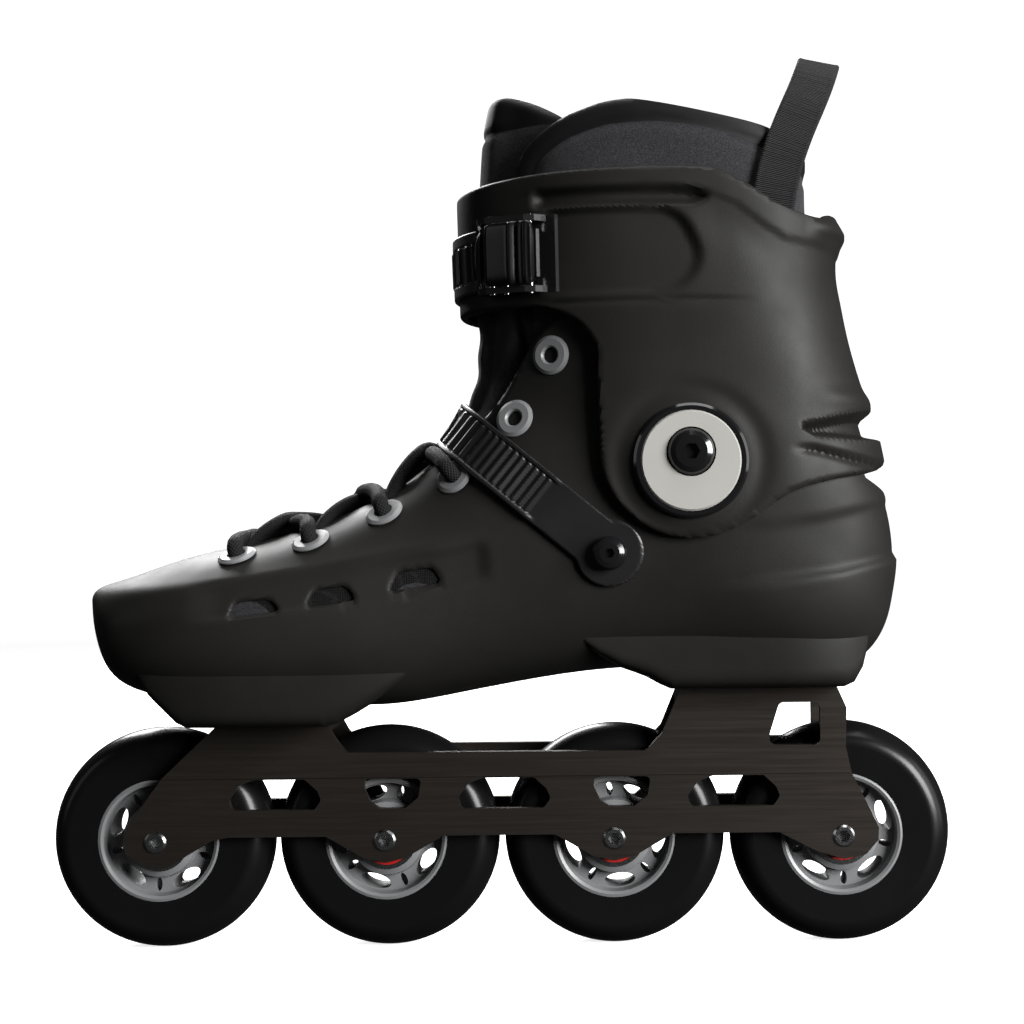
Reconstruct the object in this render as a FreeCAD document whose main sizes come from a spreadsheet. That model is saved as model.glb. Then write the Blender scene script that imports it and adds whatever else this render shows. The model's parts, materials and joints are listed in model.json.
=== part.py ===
"""Left inline skate: hard boot with a hinged cuff, soft liner, buckled straps, laces and a
four wheel aluminium frame.

The skate stands on its wheels. The origin is on the ground, midway between the first and the
last axle, in the middle plane of the wheels. The toe points to -X, the outer side of the foot
(the side with the cuff buckle) to -Y and the leg to +Z. Lengths are millimetres.
"""

import FreeCAD, Part
import math
import os

import Sketcher
from FreeCAD import Placement, Rotation, Vector

PARTS_FOLDER = "parts"
os.makedirs(PARTS_FOLDER, exist_ok=True)

doc = FreeCAD.newDocument("inline_skate")
sheet = doc.addObject("Spreadsheet::Sheet", "sizes")

ALONG_Y = Rotation(Vector(1, 0, 0), -90)  # turns a part made along +Z so that it lies along +Y


# ---------------------------------------------------------------- driving dimensions

SIZES = {
    # wheels and bearings
    "tyre_radius": 40.0,
    "tyre_half_width": 12.0,
    "tread_start": 32.0,
    "core_radius": 22.0,
    "core_half_width": 11.6,
    "rim_inner": 20.0,
    "web_half_width": 7.0,
    "boss_radius": 13.1,
    "boss_half_width": 12.0,
    "core_lip_radius": 9.7,
    "race_radius": 11.0,
    "race_wall": 1.6,
    "inner_race_radius": 5.8,
    "axle_hole": 4.0,
    "bearing_inner_face": 5.15,
    "bearing_outer_face": 12.15,
    "ball_circle": 7.6,
    "ball_radius": 1.55,
    "shield_face": 11.85,
    "shield_back": 11.3,
    "shield_inner": 6.15,
    "axle_radius": 3.95,
    "axle_pitch": 82.0,
    # frame
    "channel_half": 13.6,
    "lower_plate_half": 16.6,
    "upper_plate_half": 17.2,
    "step_height": 62.7,
    "front_deck": 82.0,
    "front_deck_under": 77.8,
    "rear_deck": 93.5,
    "rear_deck_under": 88.8,
    "axle_boss_radius": 5.6,
    "axle_boss_face": 12.2,
    "front_bolt_place": -82.0,
    "rear_bolt_place": 83.0,
    # boot
    "shell_wall": 3.0,
    "liner_gap": 0.4,
    "liner_wall": 6.0,
    "cuff_wall": 3.2,
    "pivot_along": 68.6,
    "pivot_height": 176.0,
    "disc_drop": 3.0,
    "pivot_pin_radius": 5.0,
    "disc_radius": 17.1,
    "disc_ring_radius": 19.5,
    "strap_pivot_along": 40.7,
    "strap_pivot_height": 142.0,
    "strap_half_width": 9.0,
    "ladder_low": 233.6,
    "ladder_high": 255.2,
    "lace_radius": 2.2,
    "eyelet_hole": 2.75,
    "eyelet_radius": 6.8,
}


class Size:
    """A number together with the spreadsheet expression that gives it."""

    def __init__(self, value, text=None):
        self.value = float(value)
        self.text = text or repr(float(value))

    def _join(self, other, sign, value):
        other = other if isinstance(other, Size) else Size(other)
        return Size(value(self.value, other.value), f"({self.text} {sign} {other.text})")

    def __add__(self, other):
        return self._join(other, "+", lambda a, b: a + b)

    def __sub__(self, other):
        return self._join(other, "-", lambda a, b: a - b)

    def __mul__(self, other):
        return self._join(other, "*", lambda a, b: a * b)

    def __neg__(self):
        return self * -1


class Sizes:
    """Gives each spreadsheet cell by its alias, as a Size."""

    def __getattr__(self, name):
        return Size(SIZES[name], f"sizes.{name}")


for row, (alias, number) in enumerate(SIZES.items(), 1):
    sheet.set(f"A{row}", str(number))
    sheet.setAlias(f"A{row}", alias)
doc.recompute()
size = Sizes()


def value(number):
    """The plain number of a Size, or the number itself."""
    return number.value if isinstance(number, Size) else float(number)


def bind(thing, name, number):
    """Gives a property its number and, where the number comes from the sheet, its expression."""
    setattr(thing, name, value(number))
    if isinstance(number, Size):
        thing.setExpression(name, number.text)


# ---------------------------------------------------------------- sketch and feature helpers

def new_body(label):
    """An empty body with its label."""
    body = doc.addObject("PartDesign::Body", label)
    body.Label = label
    return body


def new_sketch(body, plane, name):
    """A sketch on one of the body's own origin planes."""
    sketch = body.newObject("Sketcher::SketchObject", name)
    base = next(f for f in body.Origin.OriginFeatures if f.Role == plane)
    sketch.AttachmentSupport = [(base, "")]
    sketch.MapMode = "FlatFace"
    return sketch


def constrain(sketch, kind, place, number):
    """Adds one dimension and binds it to the sheet."""
    index = sketch.addConstraint(Sketcher.Constraint(kind, *place, value(number)))
    if isinstance(number, Size):
        sketch.setExpression(f"Constraints[{index}]", number.text)


def polygon(sketch, points):
    """A closed outline whose corners are at the given (across, up) places."""
    first = sketch.GeometryCount
    corners = [Vector(value(x), value(y), 0) for x, y in points]
    ends = corners[1:] + corners[:1]
    for start, end in zip(corners, ends):
        sketch.addGeometry(Part.LineSegment(start, end), False)
    for i in range(len(points)):
        after = (i + 1) % len(points)
        sketch.addConstraint(Sketcher.Constraint("Coincident", first + i, 2, first + after, 1))
    for i, (x, y) in enumerate(points):
        constrain(sketch, "DistanceX", (first + i, 1), x)
        constrain(sketch, "DistanceY", (first + i, 1), y)


def circle(sketch, x, y, radius):
    """A circle at (across, up)."""
    at = Vector(value(x), value(y), 0)
    index = sketch.addGeometry(Part.Circle(at, Vector(0, 0, 1), value(radius)), False)
    constrain(sketch, "DistanceX", (index, 3), x)
    constrain(sketch, "DistanceY", (index, 3), y)
    constrain(sketch, "Radius", (index,), radius)


def both_ways(body, kind, sketch, length):
    """A pad or pocket that runs the same way to both sides of its sketch."""
    feature = body.newObject(f"PartDesign::{kind}", f"{kind}_{sketch.Name}")
    feature.Profile = sketch
    feature.Midplane = True
    bind(feature, "Length", length)
    doc.recompute()
    return feature


def revolved(label, points):
    """A body of revolution about its own Y axis, from an outline of (radius, along) corners."""
    body = new_body(label)
    sketch = new_sketch(body, "XY_Plane", f"{label}_profile")
    polygon(sketch, points)
    turn = body.newObject("PartDesign::Revolution", f"{label}_turn")
    turn.Profile = sketch
    turn.ReferenceAxis = (sketch, ["V_Axis"])
    turn.Angle = 360
    doc.recompute()
    return body


def group(label, members):
    """Several separate solids that share one node."""
    together = doc.addObject("Part::Compound", label)
    together.Label = label
    together.Links = members
    return together


def copy_of(template, place, name):
    """A further copy of a template at another place."""
    link = doc.addObject("App::Link", name)
    link.LinkedObject = template
    link.LinkPlacement = place
    return link


def fixed_shape(label, shape):
    """A part whose shape comes from surfaces that no sketch feature gives."""
    feature = doc.addObject("Part::Feature", label)
    feature.Label = label
    feature.Shape = shape
    return feature


def number(name):
    """A driving dimension as the sheet holds it."""
    return float(sheet.get(name))


nodes = []


def node(thing):
    """Marks an object as one exported part."""
    nodes.append(thing)
    return thing


# ---------------------------------------------------------------- wheels

WHEEL_PLACES = (-1.5, -0.5, 0.5, 1.5)  # axle places from toe to heel, in axle pitches
CORE_TURNS = (50.0, 2.0, 24.0, 57.0)  # how far each wheel has rolled, in degrees
SPOKES = 5
BALLS = 7


def wheel_place(share, turn=0.0):
    """Where a wheel's own parts go: on its axle, rolled by an angle from +X towards +Z."""
    at = Vector(share * number("axle_pitch"), 0, number("tyre_radius"))
    return Placement(at, Rotation(Vector(0, 1, 0), -turn))


def make_tyre(label):
    """Urethane tyre: flat sides, then a tread with the outline of half an ellipse."""
    body = new_body(label)
    sketch = new_sketch(body, "XY_Plane", f"{label}_profile")
    inner, start = SIZES["core_radius"], SIZES["tread_start"]
    outer, half = SIZES["tyre_radius"], SIZES["tyre_half_width"]
    corners = [Vector(start, half, 0), Vector(inner, half - 0.4, 0)]
    corners += [Vector(inner, 0.4 - half, 0), Vector(start, -half, 0)]
    for a, b in zip(corners, corners[1:]):
        sketch.addGeometry(Part.LineSegment(a, b), False)
    oval = Part.Ellipse(Vector(start, half, 0), Vector(outer, 0, 0), Vector(start, 0, 0))
    sketch.addGeometry(Part.ArcOfEllipse(oval, 0, math.pi), False)
    sketch.addConstraint(Sketcher.Constraint("Coincident", 0, 2, 1, 1))
    sketch.addConstraint(Sketcher.Constraint("Coincident", 1, 2, 2, 1))
    for line, x, y in ((0, size.tread_start, size.tyre_half_width),
                       (1, size.core_radius, size.tyre_half_width - 0.4),
                       (2, size.core_radius, Size(0.4) - size.tyre_half_width)):
        constrain(sketch, "DistanceX", (line, 1), x)
        constrain(sketch, "DistanceY", (line, 1), y)
    turn = body.newObject("PartDesign::Revolution", f"{label}_turn")
    turn.Profile = sketch
    turn.ReferenceAxis = (sketch, ["V_Axis"])
    turn.Angle = 360
    doc.recompute()
    return body


def core_profile():
    """Half outlines of the wheel core, from the bearing lip out to the rim, as one closed ring."""
    s = size
    half = [
        (s.core_lip_radius, s.bearing_inner_face),
        (s.race_radius, s.bearing_inner_face),
        (s.race_radius, s.boss_half_width),
        (s.boss_radius, s.boss_half_width - 1.0),
        (s.boss_radius + 0.8, s.web_half_width),
        (s.rim_inner - 0.6, s.web_half_width),
        (s.rim_inner, s.core_half_width - 0.5),
        (s.rim_inner + 1.0, s.core_half_width),
        (s.core_radius, s.core_half_width - 0.3),
    ]
    return half + [(r, -y) for r, y in reversed(half)]


def oval_pocket(body, name, radius, across, along):
    """A window through the web, repeated once for each spoke."""
    sketch = new_sketch(body, "XZ_Plane", name)
    at = Vector(radius, 0, 0)
    far, side = (at + Vector(along, 0, 0), at + Vector(0, across, 0))
    oval = Part.Ellipse(far, side, at) if along > across else Part.Ellipse(side, far, at)
    sketch.addGeometry(oval, False)
    cut = both_ways(body, "Pocket", sketch, size.core_half_width * 2.2)
    ring = body.newObject("PartDesign::PolarPattern", f"{name}_ring")
    ring.Originals = [cut]
    axis = next(f for f in body.Origin.OriginFeatures if f.Role == "Y_Axis")
    ring.Axis = (axis, [""])
    ring.Angle = 360
    ring.Occurrences = SPOKES
    body.Tip = ring
    doc.recompute()
    return sketch


def make_core(label):
    """Moulded wheel core with five windows and a small slot in each spoke."""
    body = revolved(label, core_profile())
    middle = (SIZES["boss_radius"] + SIZES["rim_inner"]) / 2
    oval_pocket(body, f"{label}_slot", middle, 1.15, 2.4)
    window = oval_pocket(body, f"{label}_window", middle, 5.6, 2.5)
    half_step = 180.0 / SPOKES
    window.AttachmentOffset = Placement(Vector(), Rotation(Vector(0, 0, 1), half_step))
    doc.recompute()
    return body


def race_ring(label, inner, outer, near, far):
    """A plain ring on both sides of the wheel, such as both bearings' outer races."""
    rings = []
    for side, sign in (("left", -1), ("right", 1)):
        tall = (near, far) if sign > 0 else (-far, -near)
        points = [(inner, tall[0]), (outer, tall[0]), (outer, tall[1]), (inner, tall[1])]
        rings.append(revolved(f"{label}_{side}", points))
    return rings


def make_balls(label):
    """The balls of both bearings of one wheel."""
    balls = []
    middle = (SIZES["bearing_inner_face"] + SIZES["bearing_outer_face"]) / 2 - 0.35
    for side in (-1, 1):
        for i in range(BALLS):
            angle = 2 * math.pi * i / BALLS
            ball = doc.addObject("Part::Sphere", f"{label}_ball_{side + 1}_{i}")
            bind(ball, "Radius", size.ball_radius)
            reach = number("ball_circle")
            at = Vector(reach * math.cos(angle), side * middle, reach * math.sin(angle))
            ball.Placement = Placement(at, Rotation())
            balls.append(ball)
    return group(label, balls)


def make_wheels():
    """Four wheels: tyre, core, outer races, shields and balls, each its own node."""
    for i, (share, turn) in enumerate(zip(WHEEL_PLACES, CORE_TURNS), 1):
        place = wheel_place(share, turn)
        tyre = node(make_tyre(f"tyre_{i}"))
        core = node(make_core(f"wheel_core_{i}"))
        races = race_ring(f"outer_races_{i}", size.race_radius - size.race_wall,
                          size.race_radius, size.bearing_inner_face, size.bearing_outer_face)
        shields = race_ring(f"bearing_shields_{i}", size.shield_inner,
                            size.race_radius - size.race_wall, size.shield_back,
                            size.shield_face)
        pair = node(group(f"outer_races_{i}", races))
        discs = node(group(f"bearing_shields_{i}", shields))
        balls = node(make_balls(f"bearing_balls_{i}"))
        for part in (tyre, core, pair, discs, balls):
            part.Placement = place


def hexagon(sketch, across_flats):
    """A hexagon socket centred on the sketch's origin."""
    reach = across_flats / math.sqrt(3)
    turns = [math.pi / 3 * k for k in range(6)]
    polygon(sketch, [(reach * math.cos(t), reach * math.sin(t)) for t in turns])


def make_axles():
    """Four axles: a shaft with a low head at the inner side and a hexagon socket at each end."""
    s = size
    near_end, chamfer, head_radius, head_face = 17.4, 0.7, 6.2, 19.4
    half = s.lower_plate_half
    axle = revolved("axle", [
        (0, -near_end), (s.axle_radius - chamfer, -near_end), (s.axle_radius, chamfer - near_end),
        (s.axle_radius, half), (head_radius, half), (head_radius, head_face - 1.2),
        (head_radius - 1.2, head_face), (0, head_face)])
    for name, flats, depth, face in (("near", 4.0, 3.0, -near_end), ("far", 5.0, 2.6, head_face)):
        sketch = new_sketch(axle, "XZ_Plane", f"axle_{name}_socket")
        sketch.AttachmentOffset = Placement(Vector(0, 0, -face), Rotation())
        hexagon(sketch, flats)
        cut = axle.newObject("PartDesign::Pocket", f"axle_{name}_cut")
        cut.Profile = sketch
        cut.Midplane = True
        cut.Length = 2 * depth
        doc.recompute()
    copies = [copy_of(axle, wheel_place(share), f"axle_copy_{i}")
              for i, share in enumerate(WHEEL_PLACES)]
    node(group("wheel_axles", copies))


def make_inner_rings():
    """Inner races and the spacer between them, which the axle clamps to the frame."""
    s = size
    races = race_ring("inner_race", s.axle_hole, s.inner_race_radius, s.bearing_inner_face,
                      s.bearing_outer_face)
    spacer = revolved("spacer", [
        (s.axle_hole + 0.05, -s.bearing_inner_face), (s.inner_race_radius - 0.5,
        -s.bearing_inner_face), (s.inner_race_radius - 0.5, s.bearing_inner_face),
        (s.axle_hole + 0.05, s.bearing_inner_face)])
    rings, spacers = [], []
    for i, share in enumerate(WHEEL_PLACES):
        place = wheel_place(share)
        rings += [copy_of(race, place, f"inner_race_copy_{i}_{k}") for k, race in enumerate(races)]
        spacers.append(copy_of(spacer, place, f"spacer_copy_{i}"))
    node(group("bearing_inner_races", rings))
    node(group("bearing_spacers", spacers))


# ---------------------------------------------------------------- frame

def frame_outline(low):
    """Side outline of the frame's plates, above or below the step in their thickness."""
    s = size
    if low:
        upper = [(126.0, s.step_height), (-120.6, s.step_height)]
        nose = [(-132.2, 47.0), (-135.0, 39.4), (-132.4, 35.0), (-127.0, 32.0), (-119.0, 31.0)]
        lobe = [(-62.0, 41.6), (-48.5, 33.8), (-41.0, 32.0), (-33.5, 33.8), (-20.0, 41.6)]
        rear_lobe = [(20.0, 41.6), (33.5, 33.8), (41.0, 32.0), (48.5, 33.8), (62.0, 41.6)]
        tail = [(100.0, 41.6), (113.2, 34.8), (123.0, 31.8), (131.0, 33.4), (135.4, 38.5),
                (135.6, 43.0), (130.3, 54.1)]
        return upper + nose + [(-103.0, 40.4), (-97.0, 41.6)] + lobe + rear_lobe + tail
    front = [(-120.6, s.step_height), (-100.2, s.front_deck), (-61.4, s.front_deck)]
    waist = [(-58.6, 77.0), (-54.6, 71.6), (52.6, 71.3), (58.6, 77.6)]
    rear = [(65.2, s.rear_deck), (121.0, s.rear_deck), (124.4, 85.9), (124.0, 72.0),
            (126.0, s.step_height)]
    return front + waist + rear


def y_edges(feature, keep):
    """Names of the straight edges that run across the skate and pass a test of their place."""
    names = []
    for i, edge in enumerate(feature.Shape.Edges, 1):
        if edge.Curve.TypeId != "Part::GeomLine" or abs(edge.Curve.Direction.y) < 0.999:
            continue
        middle = edge.CenterOfMass
        if keep(middle.x, middle.y, middle.z):
            names.append(f"Edge{i}")
    return names


def make_frame():
    """One piece channel frame: two plates joined by a front and a rear deck."""
    s = size
    body = new_body("frame")
    lower = new_sketch(body, "XZ_Plane", "frame_lower_outline")
    polygon(lower, frame_outline(True))
    both_ways(body, "Pad", lower, s.lower_plate_half * 2)
    upper = new_sketch(body, "XZ_Plane", "frame_upper_outline")
    polygon(upper, frame_outline(False))
    both_ways(body, "Pad", upper, s.upper_plate_half * 2)
    channel = new_sketch(body, "XZ_Plane", "frame_channel")
    polygon(channel, [(-140, 20), (140, 20), (140, s.rear_deck_under), (57, s.rear_deck_under),
                      (57, 86.0), (-57, 86.0), (-57, s.front_deck_under),
                      (-140, s.front_deck_under)])
    both_ways(body, "Pocket", channel, s.channel_half * 2)
    windows = new_sketch(body, "XZ_Plane", "frame_windows")
    for shift in (-82.0, 0.0, 82.0):
        polygon(windows, [(shift - 13.6, 51.2), (shift - 14.6, 55.0), (shift - 11.0, 60.0),
                          (shift - 5.6, 62.1), (shift + 12.6, 62.1), (shift + 17.0, 58.0),
                          (shift + 18.4, 54.6), (shift + 16.0, 51.2)])
    for axle in (-41.0, 41.0):
        polygon(windows, [(axle - 6.9, 62.1), (axle - 7.2, 58.6), (axle - 4.8, 53.4),
                          (axle - 1.6, 51.5), (axle + 7.4, 51.5), (axle + 12.2, 55.4),
                          (axle + 13.2, 62.1)])
    both_ways(body, "Pocket", windows, s.upper_plate_half * 2.4)
    light = new_sketch(body, "XZ_Plane", "frame_rear_window")
    polygon(light, [(96.7, 72.8), (96.9, 77.0), (100.4, 88.0), (114.9, 88.0), (114.9, 72.8)])
    both_ways(body, "Pocket", light, s.upper_plate_half * 2.4)
    bosses = new_sketch(body, "XZ_Plane", "frame_axle_bosses")
    for share in WHEEL_PLACES:
        circle(bosses, s.axle_pitch * share, s.tyre_radius, s.axle_boss_radius)
    both_ways(body, "Pad", bosses, s.lower_plate_half * 2)
    clear = new_sketch(body, "XZ_Plane", "frame_bearing_room")
    for share in WHEEL_PLACES:
        circle(clear, s.axle_pitch * share, s.tyre_radius, s.axle_boss_radius + 0.1)
    both_ways(body, "Pocket", clear, s.axle_boss_face * 2)
    holes = new_sketch(body, "XZ_Plane", "frame_axle_holes")
    for share in WHEEL_PLACES:
        circle(holes, s.axle_pitch * share, s.tyre_radius, s.axle_hole)
    both_ways(body, "Pocket", holes, s.upper_plate_half * 2.4)
    bolts = new_sketch(body, "XY_Plane", "frame_bolt_holes")
    circle(bolts, s.front_bolt_place, 0, 4.2)
    circle(bolts, s.rear_bolt_place, 0, 4.2)
    cut = both_ways(body, "Pocket", bolts, s.rear_deck * 2.4)
    rounding = body.newObject("PartDesign::Fillet", "frame_outline_rounding")
    corners = y_edges(cut, lambda x, y, z: (33 < z < 50 and abs(x) < 134) or
                      (70 < z < 80 and -60 < x < 60) or (72 < z < 89 and 95 < x < 116))
    rounding.Base = (cut, corners)
    rounding.Radius = 2.2
    doc.recompute()
    windows_round = body.newObject("PartDesign::Fillet", "frame_window_rounding")
    edges = y_edges(rounding, lambda x, y, z: 50.5 < z < 62.3 and abs(x) < 102
                    and abs(y) > 10)
    windows_round.Base = (rounding, edges)
    windows_round.Radius = 1.6
    doc.recompute()
    node(body)


# ---------------------------------------------------------------- boot surfaces

# Fan of sections through the boot from the toe up to the top of the tongue. Each row gives the
# front end (x, z) on the instep or shin, the back end (x, z) on the sole or heel, and the
# half width.
FAN = (
    (-144.8, 129.0, -145.3, 126.4, 9.0),
    (-143.0, 131.2, -144.2, 119.5, 19.0),
    (-137.5, 133.5, -139.0, 104.5, 31.0),
    (-128.0, 136.8, -130.5, 95.4, 40.0),
    (-112.0, 142.0, -113.0, 91.0, 47.0),
    (-90.0, 147.2, -88.0, 89.4, 50.5),
    (-66.0, 153.6, -62.0, 88.6, 50.0),
    (-45.0, 162.5, -38.0, 88.3, 47.5),
    (-29.0, 172.0, -12.0, 92.3, 44.5),
    (-18.0, 184.0, 16.0, 97.2, 43.0),
    (-11.0, 196.0, 48.0, 100.5, 43.5),
    (-7.6, 208.0, 92.0, 100.6, 44.5),
    (-7.0, 216.0, 124.0, 100.8, 45.5),
    (-7.0, 223.0, 138.0, 112.6, 46.0),
    (-7.0, 230.0, 142.0, 126.0, 46.0),
    (-7.0, 237.0, 143.6, 140.0, 46.0),
    (-7.0, 244.0, 141.3, 157.3, 46.0),
    (-7.0, 251.0, 136.3, 171.0, 46.0),
    (-7.0, 258.0, 133.0, 185.0, 46.2),
    (-7.0, 266.0, 128.0, 201.0, 46.6),
    (-6.6, 275.0, 122.6, 220.0, 47.0),
    (-6.0, 285.0, 119.5, 240.0, 47.4),
    (-5.0, 296.0, 118.4, 262.0, 47.6),
    (-2.6, 307.0, 117.8, 285.0, 47.6),
)
FRONT_POWER = 2.15  # rounder towards the instep
BACK_POWER = 2.9  # squarer towards the sole and heel
HALF_RING = 14  # steps from the instep round to the sole


def fan_ring(row, front, back, side):
    """Half a section, from the instep to the sole, moved inwards by its three amounts."""
    fx, fz, bx, bz, half = row
    along = Vector(bx - fx, 0, bz - fz)
    length = along.Length
    along.normalize()
    room = max(length - front - back, 0.8)
    middle = Vector(fx, 0, fz) + along * (front + room / 2)
    half = max(half - side, 0.8)
    points = []
    for k in range(HALF_RING + 1):
        turn = math.pi * k / HALF_RING
        c, s = -math.cos(turn), math.sin(turn)
        power = BACK_POWER if c > 0 else FRONT_POWER
        u = math.copysign(abs(c) ** (2 / power), c)
        v = s ** (2 / power) if 0 < k < HALF_RING else 0.0
        points.append(middle + along * (u * room / 2) + Vector(0, half * v, 0))
    return points


def hull(front, back, side, first=0, last=len(FAN)):
    """Solid through the fan, moved inwards (or outwards, if negative) all round."""
    surface = Part.BSplineSurface()
    surface.interpolate([fan_ring(row, front, back, side) for row in FAN[first:last]])
    skin = surface.toShape()
    middle, caps = [], []
    for edge in skin.Edges:
        box = edge.BoundBox
        if box.YLength < 1e-4:
            middle.append(edge)
        else:
            chord = Part.makeLine(edge.Vertexes[0].Point, edge.Vertexes[-1].Point)
            caps.append(Part.Face(Part.Wire([edge, chord])))
            middle.append(chord)
    flat = Part.Face(Part.Wire(Part.__sortEdges__(middle)))
    half = Part.Solid(Part.makeShell([skin, flat] + caps))
    if half.Volume < 0:
        half.reverse()
    return half.fuse(half.mirror(Vector(), Vector(0, 1, 0))).removeSplitter()


def side_prism(points, half=90.0, y=0.0):
    """Prism across the skate from a side outline of (x, z) corners."""
    corners = [Vector(px, y - half, pz) for px, pz in points]
    face = Part.Face(Part.makePolygon(corners + corners[:1]))
    return face.extrude(Vector(0, 2 * half, 0))


def end_prism(points, half=180.0):
    """A prism along X from an outline of (y, z) points."""
    outline = Part.makePolygon([Vector(-half, y, z) for y, z in points + points[:1]])
    return Part.Face(outline).extrude(Vector(2 * half, 0, 0))


def turned_block(middle, size_xyz, turn=None):
    """A block centred on a place, turned about its own centre."""
    dx, dy, dz = size_xyz
    block = Part.makeBox(dx, dy, dz, Vector(-dx / 2, -dy / 2, -dz / 2))
    block.Placement = Placement(Vector(*middle), turn or Rotation())
    return block


def capsule(start, end, half_width, y_half=90.0):
    """A prism across the skate whose side outline is a slot from one (x, z) to another."""
    a, b = Vector(start[0], 0, start[1]), Vector(end[0], 0, end[1])
    along = (b - a).normalize()
    across = Vector(-along.z, 0, along.x) * half_width
    corners = [a + across, b + across, b - across, a - across]
    face = Part.Face(Part.makePolygon(corners + corners[:1]))
    slot = face.extrude(Vector(0, 2 * y_half, 0))
    slot.translate(Vector(0, -y_half, 0))
    for end_point in (a, b):
        low = end_point - Vector(0, y_half, 0)
        slot = slot.fuse(Part.makeCylinder(half_width, 2 * y_half, low, Vector(0, 1, 0)))
    return slot


# the part of the instep left open, in front of the flaps and above them
FLAP_EDGE = ((-41.8, 164.6), (-19.1, 175.5), (2.2, 195.4), (13.5, 215.0), (20.0, 221.0),
             (34.0, 222.0), (60.0, 205.0), (92.0, 193.0), (150.0, 189.0), (150.0, 330.0),
             (-60.0, 330.0), (-60.0, 172.0))
# all that the cuff can sweep over
CUFF_SWEEP = ((30.0, 240.0), (30.0, 205.0), (28.0, 160.0), (44.0, 141.0), (68.0, 134.0),
              (96.0, 141.0), (118.0, 151.0), (150.0, 158.0), (150.0, 240.0))
SHELL_FRONT_PAD = ((-124.0, 104.0), (-118.8, 92.8), (-109.6, 83.6), (-106.0, 82.0),
                   (-57.4, 82.0), (-52.0, 85.4), (-44.0, 104.0))
FRONT_PAD_WIDTHS = ((-29.0, 104.0), (-24.0, 81.0), (24.0, 81.0), (29.0, 104.0))
SHELL_REAR_PAD = ((40.0, 122.0), (52.8, 98.5), (61.5, 93.5), (124.0, 93.5), (128.6, 95.8),
                  (138.0, 122.0))
REAR_PAD_WIDTHS = ((-39.2, 122.0), (-34.5, 93.0), (34.5, 93.0), (39.2, 122.0))
VENTS = (
    ((-88.2, 122.4), (-87.3, 127.3), (-74.3, 127.9), (-72.4, 124.5), (-75.5, 123.2)),
    ((-61.9, 124.8), (-60.0, 130.6), (-48.9, 132.0), (-46.0, 127.3), (-49.0, 126.0)),
    ((-33.7, 130.9), (-31.9, 136.5), (-19.8, 137.7), (-17.4, 132.4), (-20.5, 131.2)),
)
EYELETS = ((-89.4, 141.9), (-63.3, 146.9), (-37.8, 156.5), (-13.0, 168.9), (8.3, 188.8),
           (21.2, 210.5))


def surface_point(solid, x, z, side, reach=90.0):
    """Where a line across the skate enters a solid, and the solid's outward normal there."""
    line = Part.makeLine(Vector(x, side * reach, z), Vector(x, 0, z))
    inside = solid.common(line)
    ends = [v.Point for edge in inside.Edges for v in edge.Vertexes]
    point = max(ends, key=lambda p: side * p.y)
    face, spot = nearest_face(solid, point)
    return point, face.normalAt(*spot)


def nearest_face(solid, point):
    """The face of a solid nearest to a point, and the parameters of the nearest place on it."""
    vertex = Part.Vertex(point)
    face = min(solid.Faces, key=lambda f: f.distToShape(vertex)[0])
    return face, face.Surface.parameter(point)


def to_normal(normal):
    """Rotation that takes +Y to a direction."""
    return Rotation(Vector(0, 1, 0), normal)


def make_shell(outer):
    """Hard lower boot with mounting pads, lacing flaps, side vents and a step for the cuff."""
    wall = number("shell_wall")
    body = outer
    for outline, widths, drop in ((SHELL_FRONT_PAD, FRONT_PAD_WIDTHS, 13.0),
                                  (SHELL_REAR_PAD, REAR_PAD_WIDTHS, 24.0)):
        pad = side_prism(outline).common(end_prism(widths))
        body = body.fuse(pad.common(outer.translated(Vector(0, 0, -drop))))
    body = body.cut(hull(wall, 7.0, wall, 2))
    throat = side_prism(((-104.0, 131.0), (12.0, 131.0), (12.0, 240.0), (-104.0, 240.0)), 15.0)
    body = body.cut(throat).cut(side_prism(FLAP_EDGE))
    body = body.cut(side_prism(CUFF_SWEEP).cut(hull(1.3, 1.3, 1.3, 6)))
    for corners in VENTS:
        for side in (-1, 1):
            body = body.cut(side_prism(corners, 20.0, side * 45.0))
    for place in ("front_bolt_place", "rear_bolt_place"):
        low = Vector(number(place), 0, 70)
        body = body.cut(Part.makeCylinder(4.2, 50, low))
    for side in (-1, 1):
        for x, z in EYELETS:
            point, normal = surface_point(outer, x, z, side)
            hole = Part.makeCylinder(4.05, 14, point - normal * 9, normal)
            body = body.cut(hole)
        for x, z, radius in ((number("pivot_along"), number("pivot_height"), 5.05),
                             (number("strap_pivot_along"), number("strap_pivot_height"), 3.0)):
            low = Vector(x, side * 30, z)
            body = body.cut(Part.makeCylinder(radius, 40, low, Vector(0, side, 0)))
    return body


def make_vent_mesh():
    """A thin mesh panel behind each vent."""
    skin = hull(3.03, 7.03, 3.03, 2).cut(hull(3.33, 7.33, 3.33, 2))
    panels = []
    for corners in VENTS:
        xs, zs = [c[0] for c in corners], [c[1] for c in corners]
        grown = ((min(xs) - 3, min(zs) - 3), (max(xs) + 3, min(zs) - 3),
                 (max(xs) + 3, max(zs) + 3), (min(xs) - 3, max(zs) + 3))
        for side in (-1, 1):
            panels.append(skin.common(side_prism(grown, 20.0, side * 45.0)))
    return Part.makeCompound([solid for panel in panels for solid in panel.Solids])


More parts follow.
